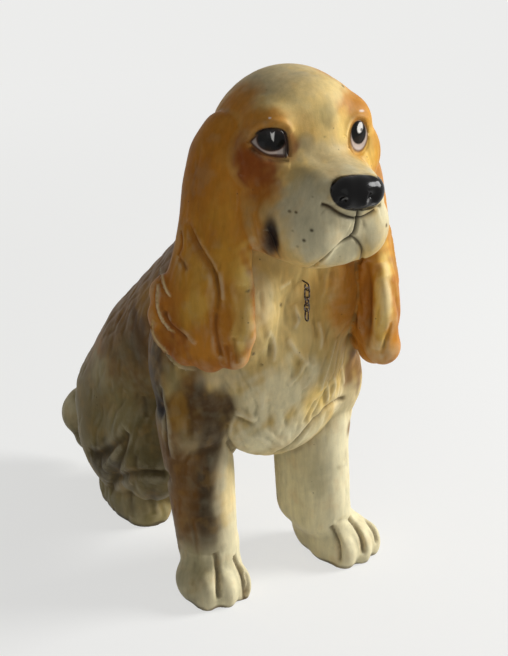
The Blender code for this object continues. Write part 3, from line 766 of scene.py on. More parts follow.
coatLocks = [
    # low corner, high corner, flow, locks, length, width, depth, seed, facing
    ((-32, 0, 30), (26, 90, 118), alongBack, 300, 15.0, 0.7, 0.22, 12, (0, 0.35, 0.6)),
    ((-36, -14, 45), (-14, 45, 108), lambda place: (-0.1, 0.35, -1.0), 90, 12.0, 0.8, 0.24, 13, (-1, 0, 0)),
    ((14, -14, 45), (40, 45, 108), lambda place: (0.1, 0.35, -1.0), 90, 12.0, 0.8, 0.24, 14, (1, 0, 0)),
    ((-33, 25, 3), (27, 84, 60), lambda place: (0.0, 0.3, -1.0), 220, 11.0, 0.8, 0.32, 15),
    ((-42, -36, 82), (-16, -2, 150), lambda place: (-0.1, -0.1, -1.0), 80, 14.0, 0.7, 0.2, 16, (-1, 0, 0)),
    ((16, -40, 74), (44, -2, 146), lambda place: (0.1, -0.1, -1.0), 80, 14.0, 0.7, 0.2, 17, (1, 0, 0)),
    ((-34, -16, 14), (-8, 14, 58), lambda place: (0.0, 0.1, -1.0), 60, 9.0, 0.7, 0.2, 18),
    ((8, -18, 14), (40, 14, 58), lambda place: (0.1, 0.1, -1.0), 60, 9.0, 0.7, 0.2, 19),
    ((-18, -12, 118), (20, 8, 168), downNape, 60, 9.0, 0.7, 0.15, 20, (0, 0.6, 0.4)),
]
for patch in coatLocks:
    combed(*patch)
settle()
print("coat carved")

# Paint: airbrushed clouds of colour first, then the lines, the eyes, the nose and the freckles

paints = {
    "ivory": (0.58, 0.47, 0.26),
    "fawn": (0.74, 0.53, 0.20),
    "cream": (0.80, 0.72, 0.46),
    "greyCream": (0.62, 0.55, 0.35),
    "sand": (0.60, 0.43, 0.155),
    "straw": (0.90, 0.63, 0.17),
    "gold": (0.86, 0.66, 0.29),
    "amber": (0.51, 0.20, 0.022),
    "honey": (0.60, 0.30, 0.038),
    "rust": (0.26, 0.060, 0.009),
    "walnut": (0.175, 0.078, 0.017),
    "olive": (0.29, 0.235, 0.10),
    "moss": (0.125, 0.095, 0.035),
    "umber": (0.047, 0.028, 0.013),
    "ink": (0.012, 0.008, 0.008),
    "lid": (0.06, 0.022, 0.012),
    "black": (0.003, 0.0025, 0.0025),
    "plum": (0.045, 0.028, 0.03),
    "shell": (0.56, 0.46, 0.40),
    "white": (0.92, 0.90, 0.86),
    "grey": (0.30, 0.29, 0.28),
}
clayPoints[:, 2] = np.maximum(clayPoints[:, 2], 0.0)
skin.data.vertices.foreach_set("co", clayPoints.reshape(-1))
skin.data.update()
facingNow = readAll(skin.data.vertices, "normal", 3)


def reachInto(balls, places):
    # about how far each place is from the nearest of the balls, in millimetres
    best = np.full(len(places), 1e9)
    for shape in balls:
        inward = np.array(shape.inverted())
        scaled = places @ inward[:3, :3].T + inward[:3, 3]
        size = min(column.length for column in shape.to_3x3().col)
        best = np.minimum(best, (np.linalg.norm(scaled, axis=1) - 1.0) * size)
    return best


reach = {name: reachInto(balls, clayRest) for name, balls in groups.items()}
groupNames = list(groups)
reachTable = np.array([reach[name] for name in groupNames])
print("groups found")


def share(name, soft=0.8):
    # how far a place belongs to one group of the clay, fading over the seam with the others
    others = np.min(reachTable[[row for row, other in enumerate(groupNames) if other != name]], axis=0)
    return np.clip(0.5 + (others - reach[name]) / (2 * soft), 0, 1)


def cloud(places, size, seed):
    # a smooth wandering value of about -1 to 1
    source = np.random.default_rng(seed)
    value = np.zeros(len(places))
    for _ in range(9):
        heading = source.normal(size=3)
        heading *= 6.3 / (size * source.uniform(0.7, 1.6) * np.linalg.norm(heading))
        value += np.cos(places @ heading + source.uniform(0, 6.3))
    return value / 3.0


def smooth(low, high, value):
    part = np.clip((value - low) / (high - low), 0, 1)
    return part * part * (3 - 2 * part)


coat = np.tile(np.array(paints["sand"]), (count, 1))
gloss = np.zeros(count)
wander = cloud(clayRest, 9.0, 31) + 0.5 * cloud(clayRest, 3.5, 32)
otherSide = clayRest * np.array((-1.0, 1.0, 1.0))


def lay(paint, mask, chosen=slice(None)):
    colour = np.array(paints[paint])
    coat[chosen] += (colour - coat[chosen]) * mask[:, None]


def base(paint, name, soft=0.8):
    lay(paint, share(name, soft))


# Where a cloud of colour is kept to some of the castings, its row names them.
onHead, onBody, onTrunk = ("head",), ("body",), ("body", "head")
onNearEar, onFarEar, onEars = ("rightEar",), ("leftEar",), ("rightEar", "leftEar")
onNearLeg, onFarLeg = ("rightForeleg",), ("leftForeleg",)
onNearSide, onFarSide = ("body", "rightForeleg"), ("body", "leftForeleg")


def shareOf(names):
    return np.max([share(name) for name in names], axis=0)


def airbrush(paint, place, halves, strength, only=None, both=False, ragged=0.22):
    # a soft cloud: place is a pixel of the photograph's frame or a point of the sculpture
    flat = len(place) == 2
    centre = onSkin(*place) if flat else Vector(place)
    if centre is None:
        print("airbrush misses the clay", place)
        return
    axes = np.array((rightAxis, upAxis, backAxis)) if flat else np.eye(3)
    sizes = np.array((*halves, 9.0) if len(halves) == 2 else halves)
    for places in (clayRest, otherSide) if both else (clayRest,):
        away = np.linalg.norm((places - np.array(centre)) @ axes.T / sizes, axis=1)
        mask = strength * smooth(1.35, 0.45, away + ragged * wander)
        lay(paint, mask * shareOf(only) if only else mask)


def spray(clouds):
    # each row: paint, place, half sizes, strength, castings it keeps to, also on the other side, raggedness
    for row in clouds:
        airbrush(*row)


def brushed(paint, route, width, strength, fade=0.2, both=None, ragged=0.0, flat=False, only=None):
    # a painted line or band along a route over the skin
    for path in (route,) if both is None else (route, mirroredRoute(route, both)):
        if len(path) < 2:
            continue
        chosen = around(path, 3 * width)
        gap, along = nearest(path, chosen)
        gap = gap * (1 + ragged * wander[chosen])
        own = shareOf(only)[chosen] if only else 1.0
        band = np.exp(-((gap / width) ** (4 if flat else 2)))
        lay(paint, strength * band * endFade(along, fade) * own, chosen)


# Paint of the head
base("fawn", "head", 3.0)
headShare = share("head", 2.0)
headSides = smooth(9.0, 19.0, np.abs(clayRest[:, 0] + 0.8) + 1.2 * wander)
lay("amber", 0.9 * headShare * headSides * smooth(-46, -34, clayRest[:, 1]))
lay("honey", 0.8 * headShare * smooth(-12.0, 2.0, clayRest[:, 1] + 2 * wander))
headClouds = [
    ("amber", (232, 112), (8, 13), 0.85, onHead, True),
    ("ivory", (286, 80), (15, 8), 0.8),
    ("fawn", (318, 96), (11, 8), 0.6),
    ("amber", (240, 97), (6, 5.5), 0.85, onHead, True),
    ("ivory", (0, -12, 168), (13, 12, 7), 0.6),
    ("gold", (335, 86), (5, 4), 0.5),
    ("honey", (300, 125), (6, 5), 0.35),
    ("gold", (345, 104), (6, 7), 0.4),
    ("amber", (264, 119), (8, 3.6), 0.8, onHead, True),
    ("rust", (254, 178), (7.5, 8), 0.9, onHead, True),
    ("rust", (270, 194), (4.5, 5), 0.65, onHead, True),
    ("rust", (231, 148), (5, 8), 0.6, onHead, True),
    ("gold", (302, 112), (5, 4), 0.4),
    ("rust", (262, 160), (9, 4), 0.5, onHead, True),
    ("amber", (262, 207), (7, 7), 0.5, onHead, True),
    ("fawn", (276, 216), (5, 8), 0.5, onHead),
    ("olive", (222, 208), (3.0, 6.0), 0.75),
    ("moss", (223, 209), (1.8, 3.6), 0.4),
    ("olive", (324, 112), (3.8, 4.2), 0.6),
    ("olive", (305, 142), (2.6, 1.8), 0.45),
    ("honey", (360, 152), (4, 4), 0.7),
    ("honey", (373, 140), (5, 9), 0.85),
    ("honey", (372, 165), (5, 7), 0.8),
    ("straw", (369, 150), (1.6, 7), 0.5),
    ("amber", (352, 118), (4, 5), 0.45),
    ("straw", (344, 125), (2.2, 5), 0.5),
    ("ivory", (330, 156), (9, 5), 0.7),
    ("ivory", (345, 166), (10, 4.5), 0.75),
    ("greyCream", (352, 174), (9, 3), 0.6),
    ("ivory", (310, 182), (8, 8), 0.85),
    ("olive", (303, 180), (5, 7), 0.3),
    ("fawn", (312, 178), (6, 6), 0.35),
    ("greyCream", (312, 222), (12, 13), 0.95, None, False, 0.12),
    ("greyCream", (345, 236), (13, 12), 0.95, None, False, 0.12),
    ("greyCream", (12.0, -42, 130), (9, 12, 13), 0.9, onHead),
    ("cream", (338, 254), (6, 5), 0.6),
    ("cream", (378, 228), (3.5, 7), 0.4),
]
spray(headClouds)

# Paint of the ears
for name in onEars:
    base("amber", name, 0.7)
hangingEar = [
    # paint, place on the left ear, half sizes, strength
    ("honey", (30, -20, 112), (9, 12, 14), 0.6),
    ("rust", (32, -10, 88), (9, 9, 9), 0.55),
    ("rust", (30, -24, 84), (9, 10, 5), 0.4),
    ("rust", (26, -14, 140), (8, 6, 12), 0.25),
]
for side, only in ((-1, onNearEar), (1, onFarEar)):
    spray([(paint, sided(place, side), *how, only) for paint, place, *how in hangingEar])
earClouds = [
    # painted highlight: the first three rows lighten the near ear's front edge, where the light falls on it
    ("straw", (242, 305), (3.0, 15), 0.9, onNearEar),
    ("honey", (236, 300), (2.0, 14), 0.5, onNearEar),
    ("straw", (241, 335), (2.2, 10), 0.5, onNearEar),
    ("rust", (167, 300), (4, 16), 0.35, onEars, True),
    ("honey", (196, 306), (5, 6), 0.6, onNearEar),
    ("straw", (196, 304), (3, 4), 0.2, onNearEar),
    ("straw", (199, 262), (3.5, 6), 0.15, onNearEar),
    ("honey", (225, 250), (5, 14), 0.5, onNearEar),
    # honey on the far ear's right part; the straw and gold streaks in the next rows are a painted highlight
    # on the ear's lit side, and the rust line is painted shade in the valley beside them
    ("honey", (380, 300), (5, 18), 0.8, onFarEar),
    ("straw", (385, 285), (2.8, 12), 0.85, onFarEar),
    ("gold", (387, 292), (1.6, 9), 0.7, onFarEar),
    ("straw", (381, 325), (2.4, 9), 0.75, onFarEar),
    ("gold", (376, 348), (3.5, 4), 0.5, onFarEar),
    ("rust", (367, 300), (1.6, 14), 0.5, onFarEar),
]
spray(earClouds)

# Paint of neck and chest
chestClouds = [
    ("cream", (250, 275), (4.0, 8.5), 0.8, onTrunk, True),
    ("cream", (262, 300), (5, 8), 0.35, onBody),
    ("gold", (285, 330), (12, 16), 0.35, onBody),
    ("honey", (318, 300), (8, 10), 0.35, onBody),
    ("amber", (347, 302), (6.5, 20), 0.9, onBody, False, 0.1),
    ("olive", (300, 320), (4, 8), 0.28, onBody),
    ("olive", (268, 345), (3, 7), 0.25, onBody),
    ("cream", (282, 400), (15, 12), 0.75, onBody),
    ("cream", (270, 440), (16, 6), 0.8, onBody),
    ("straw", (314, 401), (4.2, 6), 0.6, onBody),
    ("cream", (345, 395), (6, 8), 0.45, onBody),
    ("ivory", (352, 402), (5, 9), 0.5, onFarSide),
    ("cream", (0, -22, 50), (18, 12, 12), 0.6, onBody),
]
spray(chestClouds)

# Paint of shoulders, back and haunches
trunkShare = np.maximum(share("body", 2.0), share("head", 2.0))
trunkShare *= smooth(146.0, 108.0, clayRest[:, 2] + 5 * wander)
backShare = trunkShare * smooth(-10.0, 12.0, clayRest[:, 1] + 2.5 * wander)
lay("walnut", 0.95 * backShare)
lay("olive", 0.8 * backShare * smooth(84.0, 34.0, clayRest[:, 2] + 5 * wander))
coatClouds = [
    ("walnut", (195, 402), (9, 9), 0.9, onNearSide, True),
    ("walnut", (184, 430), (7, 14), 0.85, onNearSide),
    ("olive", (186, 440), (4, 9), 0.5, onNearSide),
    ("walnut", (166, 362), (4, 9), 0.85, onNearSide),
    ("walnut", (190, 381), (6.5, 4.5), 0.8, onNearSide),
    ("olive", (172, 378), (4, 6), 0.65, onNearSide),
    ("greyCream", (222, 380), (7, 4), 0.5, onBody),
    ("umber", (138, 335), (4, 12), 0.55, None, True),
    ("amber", (97, 350), (3.5, 7), 0.35, None, True),
    ("umber", (213, 404), (6, 6), 0.75, onNearSide),
    ("umber", (197, 410), (5.5, 9), 0.6, onNearSide),
    ("honey", (178, 412), (3, 6), 0.4, onNearSide),
    ("olive", (100, 372), (7, 7), 0.75, None, True),
    ("ivory", (101, 374), (5, 6), 0.35, None, True),
    ("umber", (153, 376), (5.5, 17), 0.85, None, True),
    ("moss", (120, 345), (5, 6), 0.4, None, True),
    ("honey", (145, 300), (4, 6), 0.3, None, True),
    ("moss", (108, 462), (10, 8), 0.8, None, True),
    ("umber", (98, 466), (5, 8), 0.5, None, True),
    ("moss", (150, 450), (7, 13), 0.85, None, True),
    ("olive", (116, 415), (8, 7), 0.55, None, True),
    ("amber", (-3.5, 72, 46), (14, 8, 14), 0.25),
]
spray(coatClouds)
for name in ("rightHindFoot", "leftHindFoot"):
    base("olive", name, 1.5)
hindFootClouds = [
    ("ivory", (130, 500), (8, 8), 0.45, None, True),
    ("moss", (160, 500), (4, 8), 0.5, None, True),
]
spray(hindFootClouds)
base("olive", "tail", 2.0)
tailClouds = [
    ("ivory", (70, 410), (6, 9), 0.95),
    ("cream", (68, 406), (3, 4), 0.4),
    # painted shade: umber where the tail meets the haunch
    ("umber", (77, 436), (4, 3), 0.4),
]
spray(tailClouds)

# Paint of legs and paws
forelegs = ("rightForeleg", "leftForeleg")
for name in forelegs:
    base("cream", name, 1.5)
for name in forelegs:
    upperLeg = share(name, 1.5) * smooth(32.0, 60.0, clayRest[:, 2] + 5 * wander)
    lay("walnut", 0.85 * upperLeg * smooth(-14.0, 6.0, clayRest[:, 1] + 3 * wander))
nearBand = traced((216, 396), (214, 420), (211, 440), (204, 470), (200, 500), (202, 530), (205, 556))
brushed("walnut", nearBand, 6.4, 0.85, 0.2, None, 0.12)
brushed("umber", nearBand, 4.8, 0.9, 0.2, None, 0.15, True)
legClouds = [
    ("amber", (177, 503), (2.6, 10), 0.85, onNearLeg),
    ("walnut", (180, 465), (6, 15), 0.85, onNearSide),
]
spray(legClouds)
# Painted shade: walnut on the near foreleg's side that faces away from the key lamp, above the toes.
turnedFromLight = facingNow @ np.array((-0.85, 0.53, 0.0))
aboveToes = smooth(10.0, 22.0, clayRest[:, 2] + 2 * wander)
lay("walnut", 0.85 * share("rightForeleg", 1.5) * smooth(0.1, 0.6, turnedFromLight) * aboveToes)
pawClouds = [
    ("gold", (229, 492), (2.4, 10), 0.6, onNearLeg),
    ("walnut", (349, 428), (1.4, 3.2, 2.4), 0.8, None, False, 0.1),
    ("walnut", (36, 4, 50), (5, 6, 8), 0.35, onFarSide, False, 0.1),
    ("olive", (312, 470), (5, 9), 0.3, onFarLeg),
    # painted shade: olive on the near paw's left side and lower front
    ("olive", (192, 578), (5, 8), 0.55, onNearLeg),
    ("olive", (207, 572), (5, 6), 0.4, onNearLeg),
    ("olive", (206, 596), (6, 3), 0.25, onNearLeg),
]
spray(pawClouds)
lay("greyCream", 0.35 * shareOf(forelegs) * smooth(7.0, 2.0, clayRest[:, 2] + 0.6 * wander))
# painted shade: umber along the bottom edge, where the dog meets the floor
lay("umber", 0.75 * smooth(1.7, 0.5, clayRest[:, 2] + 0.35 * wander))

# Lines that follow the carving: painted shade in the grooves and creases, painted highlights on lit edges and
# raised locks, and the painted lines of the mouth
# painted shade: walnut in the toe grooves
for pixels, width, depth in toeGrooves:
    brushed("walnut", traced(*pixels), 1.5 * width, 0.34 * min(1.0, depth), 0.15)
# painted shadow: umber in the creases under the tail and haunch, and moss in the same creases on the hidden
# side
for pixels, width, depth in rearCreases:
    if depth > 0:
        brushed("umber", traced(*pixels), 2.1 * width, 0.4, 0.3)
        brushed("moss", mirroredRoute(traced(*pixels), rearShift), 2.4 * width, 0.25, 0.35)
# painted shade: rust in the ear folds
for pixels, width, depth in earFolds:
    if depth > 0:
        brushed("rust", traced(*pixels), 1.8 * width, 0.45, 0.2, leftEarShift, only=onEars)
# painted shade: rust along each raised lock edge of the ears; painted highlight: gold just on its lit side
for pixels, width, height, offset in earEdges:
    brushed("rust", traced(*pixels), 1.2, 0.3, 0.2, leftEarShift, only=onEars)
    lit = traced(*[(px + 0.10 * offset[0], py + 0.10 * offset[1]) for px, py in pixels])
    brushed("gold", lit, 0.30, 0.75, 0.2, leftEarShift, only=onEars)
# painted shadow: walnut along the chest's lower edge, over the far leg
brushed("walnut", apronEdge, 1.0, 0.2, 0.1)
# painted highlight: cream along the raised chest locks
for pixels, width, depth in chestLocks:
    if depth < 0:
        brushed("cream", traced(*pixels), 0.5, 0.4, 0.3)
# painted shade: umber in the crease between the near foreleg and the body
brushed("umber", traced(*legCrease), 1.5, 0.7, 0.3)
cornerClouds = [
    # painted shade: umber and ink in the elbow dent on that crease; the plum and ink after them paint the
    # mouth corner
    ("umber", (159, 408), (2.6, 5.0), 0.9, None, False, 0.0),
    ("ink", (159, 410), (1.3, 2.8), 0.9, None, False, 0.0),
    ("plum", (269.0, 240.0), (2.9, 7.0), 0.8, None, True, 0.0),
    ("ink", (270.0, 238.0), (2.2, 5.6), 0.9, None, True, 0.0),
]
spray(cornerClouds)
mouthCorner = ((267, 226), (269, 242), (275, 254), (279, 258))
brushed("ink", traced(*mouthCorner), 0.7, 0.85, 0.3, only=onHead)
faceLines = [
    # route, boldness
    (((320.5, 204), (329, 206.5), (337.4, 213.2), (348.3, 218), (355.6, 219.2)), 1.0),
    (((355.6, 219.2), (360.5, 218.6), (369, 214.4), (376.2, 209.5)), 1.0),
    (((359.2, 210), (357.4, 221), (355, 233.2), (350, 237)), 1.0),
    (((353, 236.4), (341, 244), (327.7, 257.4), (318, 264.7)), 1.0),
    (((350, 237), (355.6, 238.6), (360.5, 245.3), (362.9, 251.4), (360, 260)), 0.7),
]
for pixels, bold in faceLines:
    brushed("plum", traced(*pixels), 0.9 * bold, 0.35, 0.1)
    brushed("ink", traced(*pixels), 0.42 * bold, 0.92 * bold, 0.1)

# Eyes, nose and freckles are painted in the photograph's frame, on the skin that faces it

ahead = clayPoints - eyePoint
depthAhead = -(ahead @ backAxis)
seenX = shot["width"] / 2 + pixelScale * (ahead @ rightAxis) / depthAhead
seenY = shot["height"] / 2 - pixelScale * (ahead @ upAxis) / depthAhead
faces = (facingNow @ backAxis > 0.05) & (clayPoints[:, 2] > 110) & (clayPoints[:, 1] < -18)
faceRows = np.where(faces)[0]
seen = np.stack([seenX[faceRows], seenY[faceRows]], axis=1)


def insideOf(outline):
    # signed distance in pixels to a closed outline, positive inside it
    best = np.full(len(seen), 1e9)
    turns = np.zeros(len(seen), dtype=bool)
    for first, second in zip(outline, outline[1:] + outline[:1]):
        first, second = np.array(first), np.array(second)
        run = second - first
        along = np.clip((seen - first) @ run / (run @ run), 0, 1)
        best = np.minimum(best, np.linalg.norm(seen - first - along[:, None] * run, axis=1))
        crosses = (first[1] > seen[:, 1]) != (second[1] > seen[:, 1])
        level = first[0] + (seen[:, 1] - first[1]) * run[0] / (run[1] if run[1] else 1e-9)
        turns ^= crosses & (seen[:, 0] < level)
    return np.where(turns, best, -best)


def rounded(outline, rounds=2):
    for _ in range(rounds):
        cut = []
        for first, second in zip(outline, outline[1:] + outline[:1]):
            cut.append(tuple(a + (b - a) * 0.25 for a, b in zip(first, second)))
            cut.append(tuple(a + (b - a) * 0.75 for a, b in zip(first, second)))
        outline = cut
    return outline


def oval(px, py, halfX, halfY, lean=0.0):
    turn = math.radians(lean)
    offset = seen - np.array((px, py))
    across = offset[:, 0] * math.cos(turn) + offset[:, 1] * math.sin(turn)
    down = -offset[:, 0] * math.sin(turn) + offset[:, 1] * math.cos(turn)
    return (1.0 - np.sqrt((across / halfX) ** 2 + (down / halfY) ** 2)) * min(halfX, halfY)


def fill(paint, distance, edge=0.7, strength=1.0, shine=0.0):
    mask = strength * smooth(-edge, edge, distance)
    if mask.max() < 0.05:
        return
    middle = onSkin(*seen[mask > 0.5 * mask.max()].mean(axis=0))
    if middle is not None:
        depthThere = -((np.array(middle) - eyePoint) @ backAxis)
        mask = mask * (np.abs(depthAhead[faceRows] - depthThere) < 9.0)
    lay(paint, mask, faceRows)
    gloss[faceRows] = np.maximum(gloss[faceRows], shine * mask)


nearEye = {
    # places and sizes in pixels of the photograph's frame
    "lowerCrease": ((250, 146), (256, 152.5), (264, 158), (275, 161), (289, 160.5)),
    # painted shade in the hollow at the eye's inner corner
    "cornerShade": (291, 146),
    "outline": [
        (248.3, 141.7), (255, 135.8), (259.5, 130.6), (269.5, 128.4), (282.9, 129.4),
        (287.5, 137.4), (288.5, 158), (275.6, 157.8), (263.5, 154.8), (255, 148),
    ],
    "iris": (271.5, 139.3, 14.6, 11.8),
    "shellBottom": 154.2,
    "shellRight": 283.0,
    "shadeLeft": 277.0,
    "lowerLid": 154.0,
    "upperLid": 134.5,
    "innerCorner": 284.8,
    "glint": [(270.2, 132.0), (271.8, 133.6), (274.6, 131.8), (273.6, 141.6), (271.6, 139.0)],
    "lidGlint": (269.8, 118, 1.3, 0.8),
}
# Painted shade: umber along the crease under the lower lid, and a rust cloud in the hollow at the inner
# corner.
brushed("umber", traced(*nearEye["lowerCrease"]), 0.8, 0.7, 0.2)
airbrush("rust", nearEye["cornerShade"], (1.8, 4.5), 0.65, onHead)
inside = insideOf(rounded(nearEye["outline"]))
across, down = seen[:, 0], seen[:, 1]
iris = np.minimum(oval(*nearEye["iris"]), inside - 0.6)
shell = np.minimum(inside - 2.2, np.minimum(nearEye["shellBottom"] - down, nearEye["shellRight"] - across))
fill("lid", inside, 1.2, 0.95, 0.6)
fill("shell", shell, 0.8, 0.9, 0.5)
# painted shade on the right part of the eye's white
fill("grey", np.minimum(inside - 2.2, across - nearEye["shadeLeft"]), 1.2, 0.35)
fill("lid", iris + 0.7, 0.8, 1.0, 0.8)
fill("black", iris - 0.4, 0.6, 1.0, 0.8)
fill("lid", np.minimum(inside, down - nearEye["lowerLid"]), 0.8, 0.6)
fill("ink", np.minimum(inside + 1.3, nearEye["upperLid"] - down), 0.7, 0.95, 0.6)
# ink at the eye's inner corner: the painted lid line, deepened as painted shade
fill("ink", np.minimum(inside + 1.2, across - nearEye["innerCorner"]), 0.9, 0.85, 0.4)
# painted highlights: the white glint on the eye and the white fleck on the brow
fill("white", insideOf(nearEye["glint"]), 0.5, 0.95, 0.9)
fill("white", oval(*nearEye["lidGlint"]), 0.5, 0.8)

farEye = {
    "rim": (358.9, 136.2, 9.2, 16.0, 3),
    "iris": (358.6, 132.4, 7.4, 11.8, 3),
    "glint": (360.0, 127.8, 2.7, 5.3, 10),
    "glintHole": (361.4, 129.6, 1.0, 1.6, 0),
    "lidGlint": (361.7, 110.8, 2.2, 1.2),
}
farRim = oval(*farEye["rim"])
fill("lid", farRim, 0.9, 0.85, 0.6)
fill("shell", farRim - 1.4, 0.8, 0.9, 0.6)
fill("black", oval(*farEye["iris"]), 0.6, 1.0, 0.8)
# painted highlights: the white glint on the eye, with a dark mark in it, and the white fleck on the brow
fill("white", oval(*farEye["glint"]), 0.5, 0.9, 0.9)
fill("black", oval(*farEye["glintHole"]), 0.4, 0.8, 0.9)
fill("white", oval(*farEye["lidGlint"]), 0.7, 0.6)

nosePaint = {
    "outline": [
        (329.0, 192), (331.5, 182), (338, 176.5), (348, 174.5), (372, 174.5), (380, 179), (384, 190),
        (382, 201), (378, 208), (368, 210.5), (356, 211.5), (345, 210), (334, 204),
    ],
    "hiddenFrom": (374.0, 379.0),
    "hiddenAbove": (133.5, 136.0),  # in the sculpture's millimetres
    "rimGlint": (345.0, 199.4, 3.2, 1.5, -20),
    "rimGlintHole": (344.4, 201.4, 3.2, 1.9, -20),
    "glints": [((368.3, 200.5, 1.0, 2.4, 20), 0.5), ((373.8, 204.0, 2.4, 0.9, -15), 0.45)],
}
noseReach = reachInto(tilted(noseBalls), clayRest)
noseMask = smooth(0.75, 0.2, noseReach)
trimmed = smooth(-0.8, 0.8, insideOf(rounded(nosePaint["outline"])))
hiddenSide = smooth(*nosePaint["hiddenFrom"], across)
hiddenSide *= smooth(*nosePaint["hiddenAbove"], clayRest[faceRows, 2])
noseMask[faceRows] *= np.maximum(trimmed, hiddenSide)
lay("black", noseMask)
gloss = np.maximum(gloss, noseMask)
# painted highlights: grey glints on the nostril rim and on the nose
fill("grey", np.minimum(oval(*nosePaint["rimGlint"]), -oval(*nosePaint["rimGlintHole"])), 0.5, 0.6)
for glint, strength in nosePaint["glints"]:
    fill("grey", oval(*glint), 0.5, strength)

# pixel, half size in millimetres
roundFreckles = [(386.5, 225.3, 0.6), (385.9, 239.2, 0.6), (343.0, 86.0, 0.65)]
chestSpecks = [(281, 305, 0.55), (248, 291, 0.45), (253.5, 354, 0.5), (262, 365, 0.35)]
freckles = [
    # pixel, half size in pixels, strength
    (289.5, 211.4, 1.9, 0.75), (296.0, 212.3, 1.6, 0.9), (311.7, 230.4, 2.0, 0.9), (304.0, 240.5, 1.9, 0.85),
    (292.6, 230.8, 1.3, 0.45), (297.4, 246.5, 1.4, 0.4), (324.7, 136.8, 1.2, 0.4), (312.6, 196.8, 1.2, 0.4),
]
for px, py, size in roundFreckles:
    airbrush("umber", (px, py), (size, size, size), 0.85, None, False, 0.0)
for px, py, size, strength in freckles:
    fill("umber", oval(px, py, size, 0.8 * size, 30), 0.8, strength)
for px, py, size in chestSpecks:
    airbrush("umber", (px, py), (size, size, 2.0), 0.8, None, False, 0.0)
print("painted")

# Hollows and raised edges: painted shade for the hollows, and painted highlight with wear for the raised
# edges

pairs = readAll(skin.data.edges, "vertices", 2, np.int32)
degree = np.bincount(pairs.reshape(-1), minlength=count)


def fromNeighbours(values):
    # the sum of a value over each point's neighbours
    first = np.bincount(pairs[:, 0], weights=values[pairs[:, 1]], minlength=count)
    return first + np.bincount(pairs[:, 1], weights=values[pairs[:, 0]], minlength=count)


def relaxed(places, rounds):
    for _ in range(rounds):
        total = np.stack([fromNeighbours(places[:, axis]) for axis in range(3)], axis=1)
        places = 0.5 * places + 0.5 * total / degree[:, None]
    return places


level = np.einsum("ij,ij->i", relaxed(clayPoints, 14) - clayPoints, facingNow)
hollow = np.clip(level / 0.34 - 0.08, 0, 1)
edgeSheenAndWear = np.clip(-level / 0.22 - 0.1, 0, 1)
print("hollows found")

# The skin is parted into the castings, each with the paint of its own surface

castings = {
    "body": ("body_casting", "cream_bisque"),
    "head": ("head_casting", "cream_bisque"),
    "rightEar": ("right_ear", "amber_bisque"),
    "leftEar": ("left_ear", "amber_bisque"),
    "rightForeleg": ("right_foreleg", "cream_bisque"),
    "leftForeleg": ("left_foreleg", "cream_bisque"),
    "rightHindFoot": ("right_hind_foot", "umber_bisque"),
    "leftHindFoot": ("left_hind_foot", "umber_bisque"),
    "tail": ("tail", "umber_bisque"),
}
neckSeam = {"point": (0.0, -14.5, 112.0), "slope": 0.15}
owner = np.argmin(reachTable, axis=0)
bodyRow, headRow = groupNames.index("body"), groupNames.index("head")
_, seamY, seamZ = neckSeam["point"]
aboveSeam = clayRest[:, 2] > seamZ + neckSeam["slope"] * (clayRest[:, 1] - seamY)
trunkRows = (owner == bodyRow) | (owner == headRow)
owner[trunkRows] = np.where(aboveSeam[trunkRows], headRow, bodyRow)
for _ in range(6):
    votes = np.zeros((len(groupNames), count))
    for row in range(len(groupNames)):
        same = (owner == row).astype(float)
        votes[row] = 1.5 * same + fromNeighbours(same)
    owner = np.argmax(votes, axis=0)

cornerPoints = readAll(skin.data.loops, "vertex_index", 1, np.int32)
faceStart = readAll(skin.data.polygons, "loop_start", 1, np.int32)
faceSize = readAll(skin.data.polygons, "loop_total", 1, np.int32)
faceOwner = owner[cornerPoints[faceStart]]
framePoints = (clayPoints - sculptZero) * mm


def rimLoops(faces):
    # closed runs of open edges, each in the direction that a closing face needs
    ways = {}
    for face in faces:
        for first, second in zip(face, face[1:] + face[:1]):
            if ways.pop((second, first), None) is None:
                ways[(first, second)] = True
    onward = {}
    for first, second in ways:
        onward.setdefault(second, []).append(first)
    loops = []
    while onward:
        start = next(iter(onward))
        run, here = [], start
        while here in onward:
            run.append(here)
            following = onward[here].pop()
            if not onward[here]:
                del onward[here]
            here = following
        loops.append(run)
    return loops


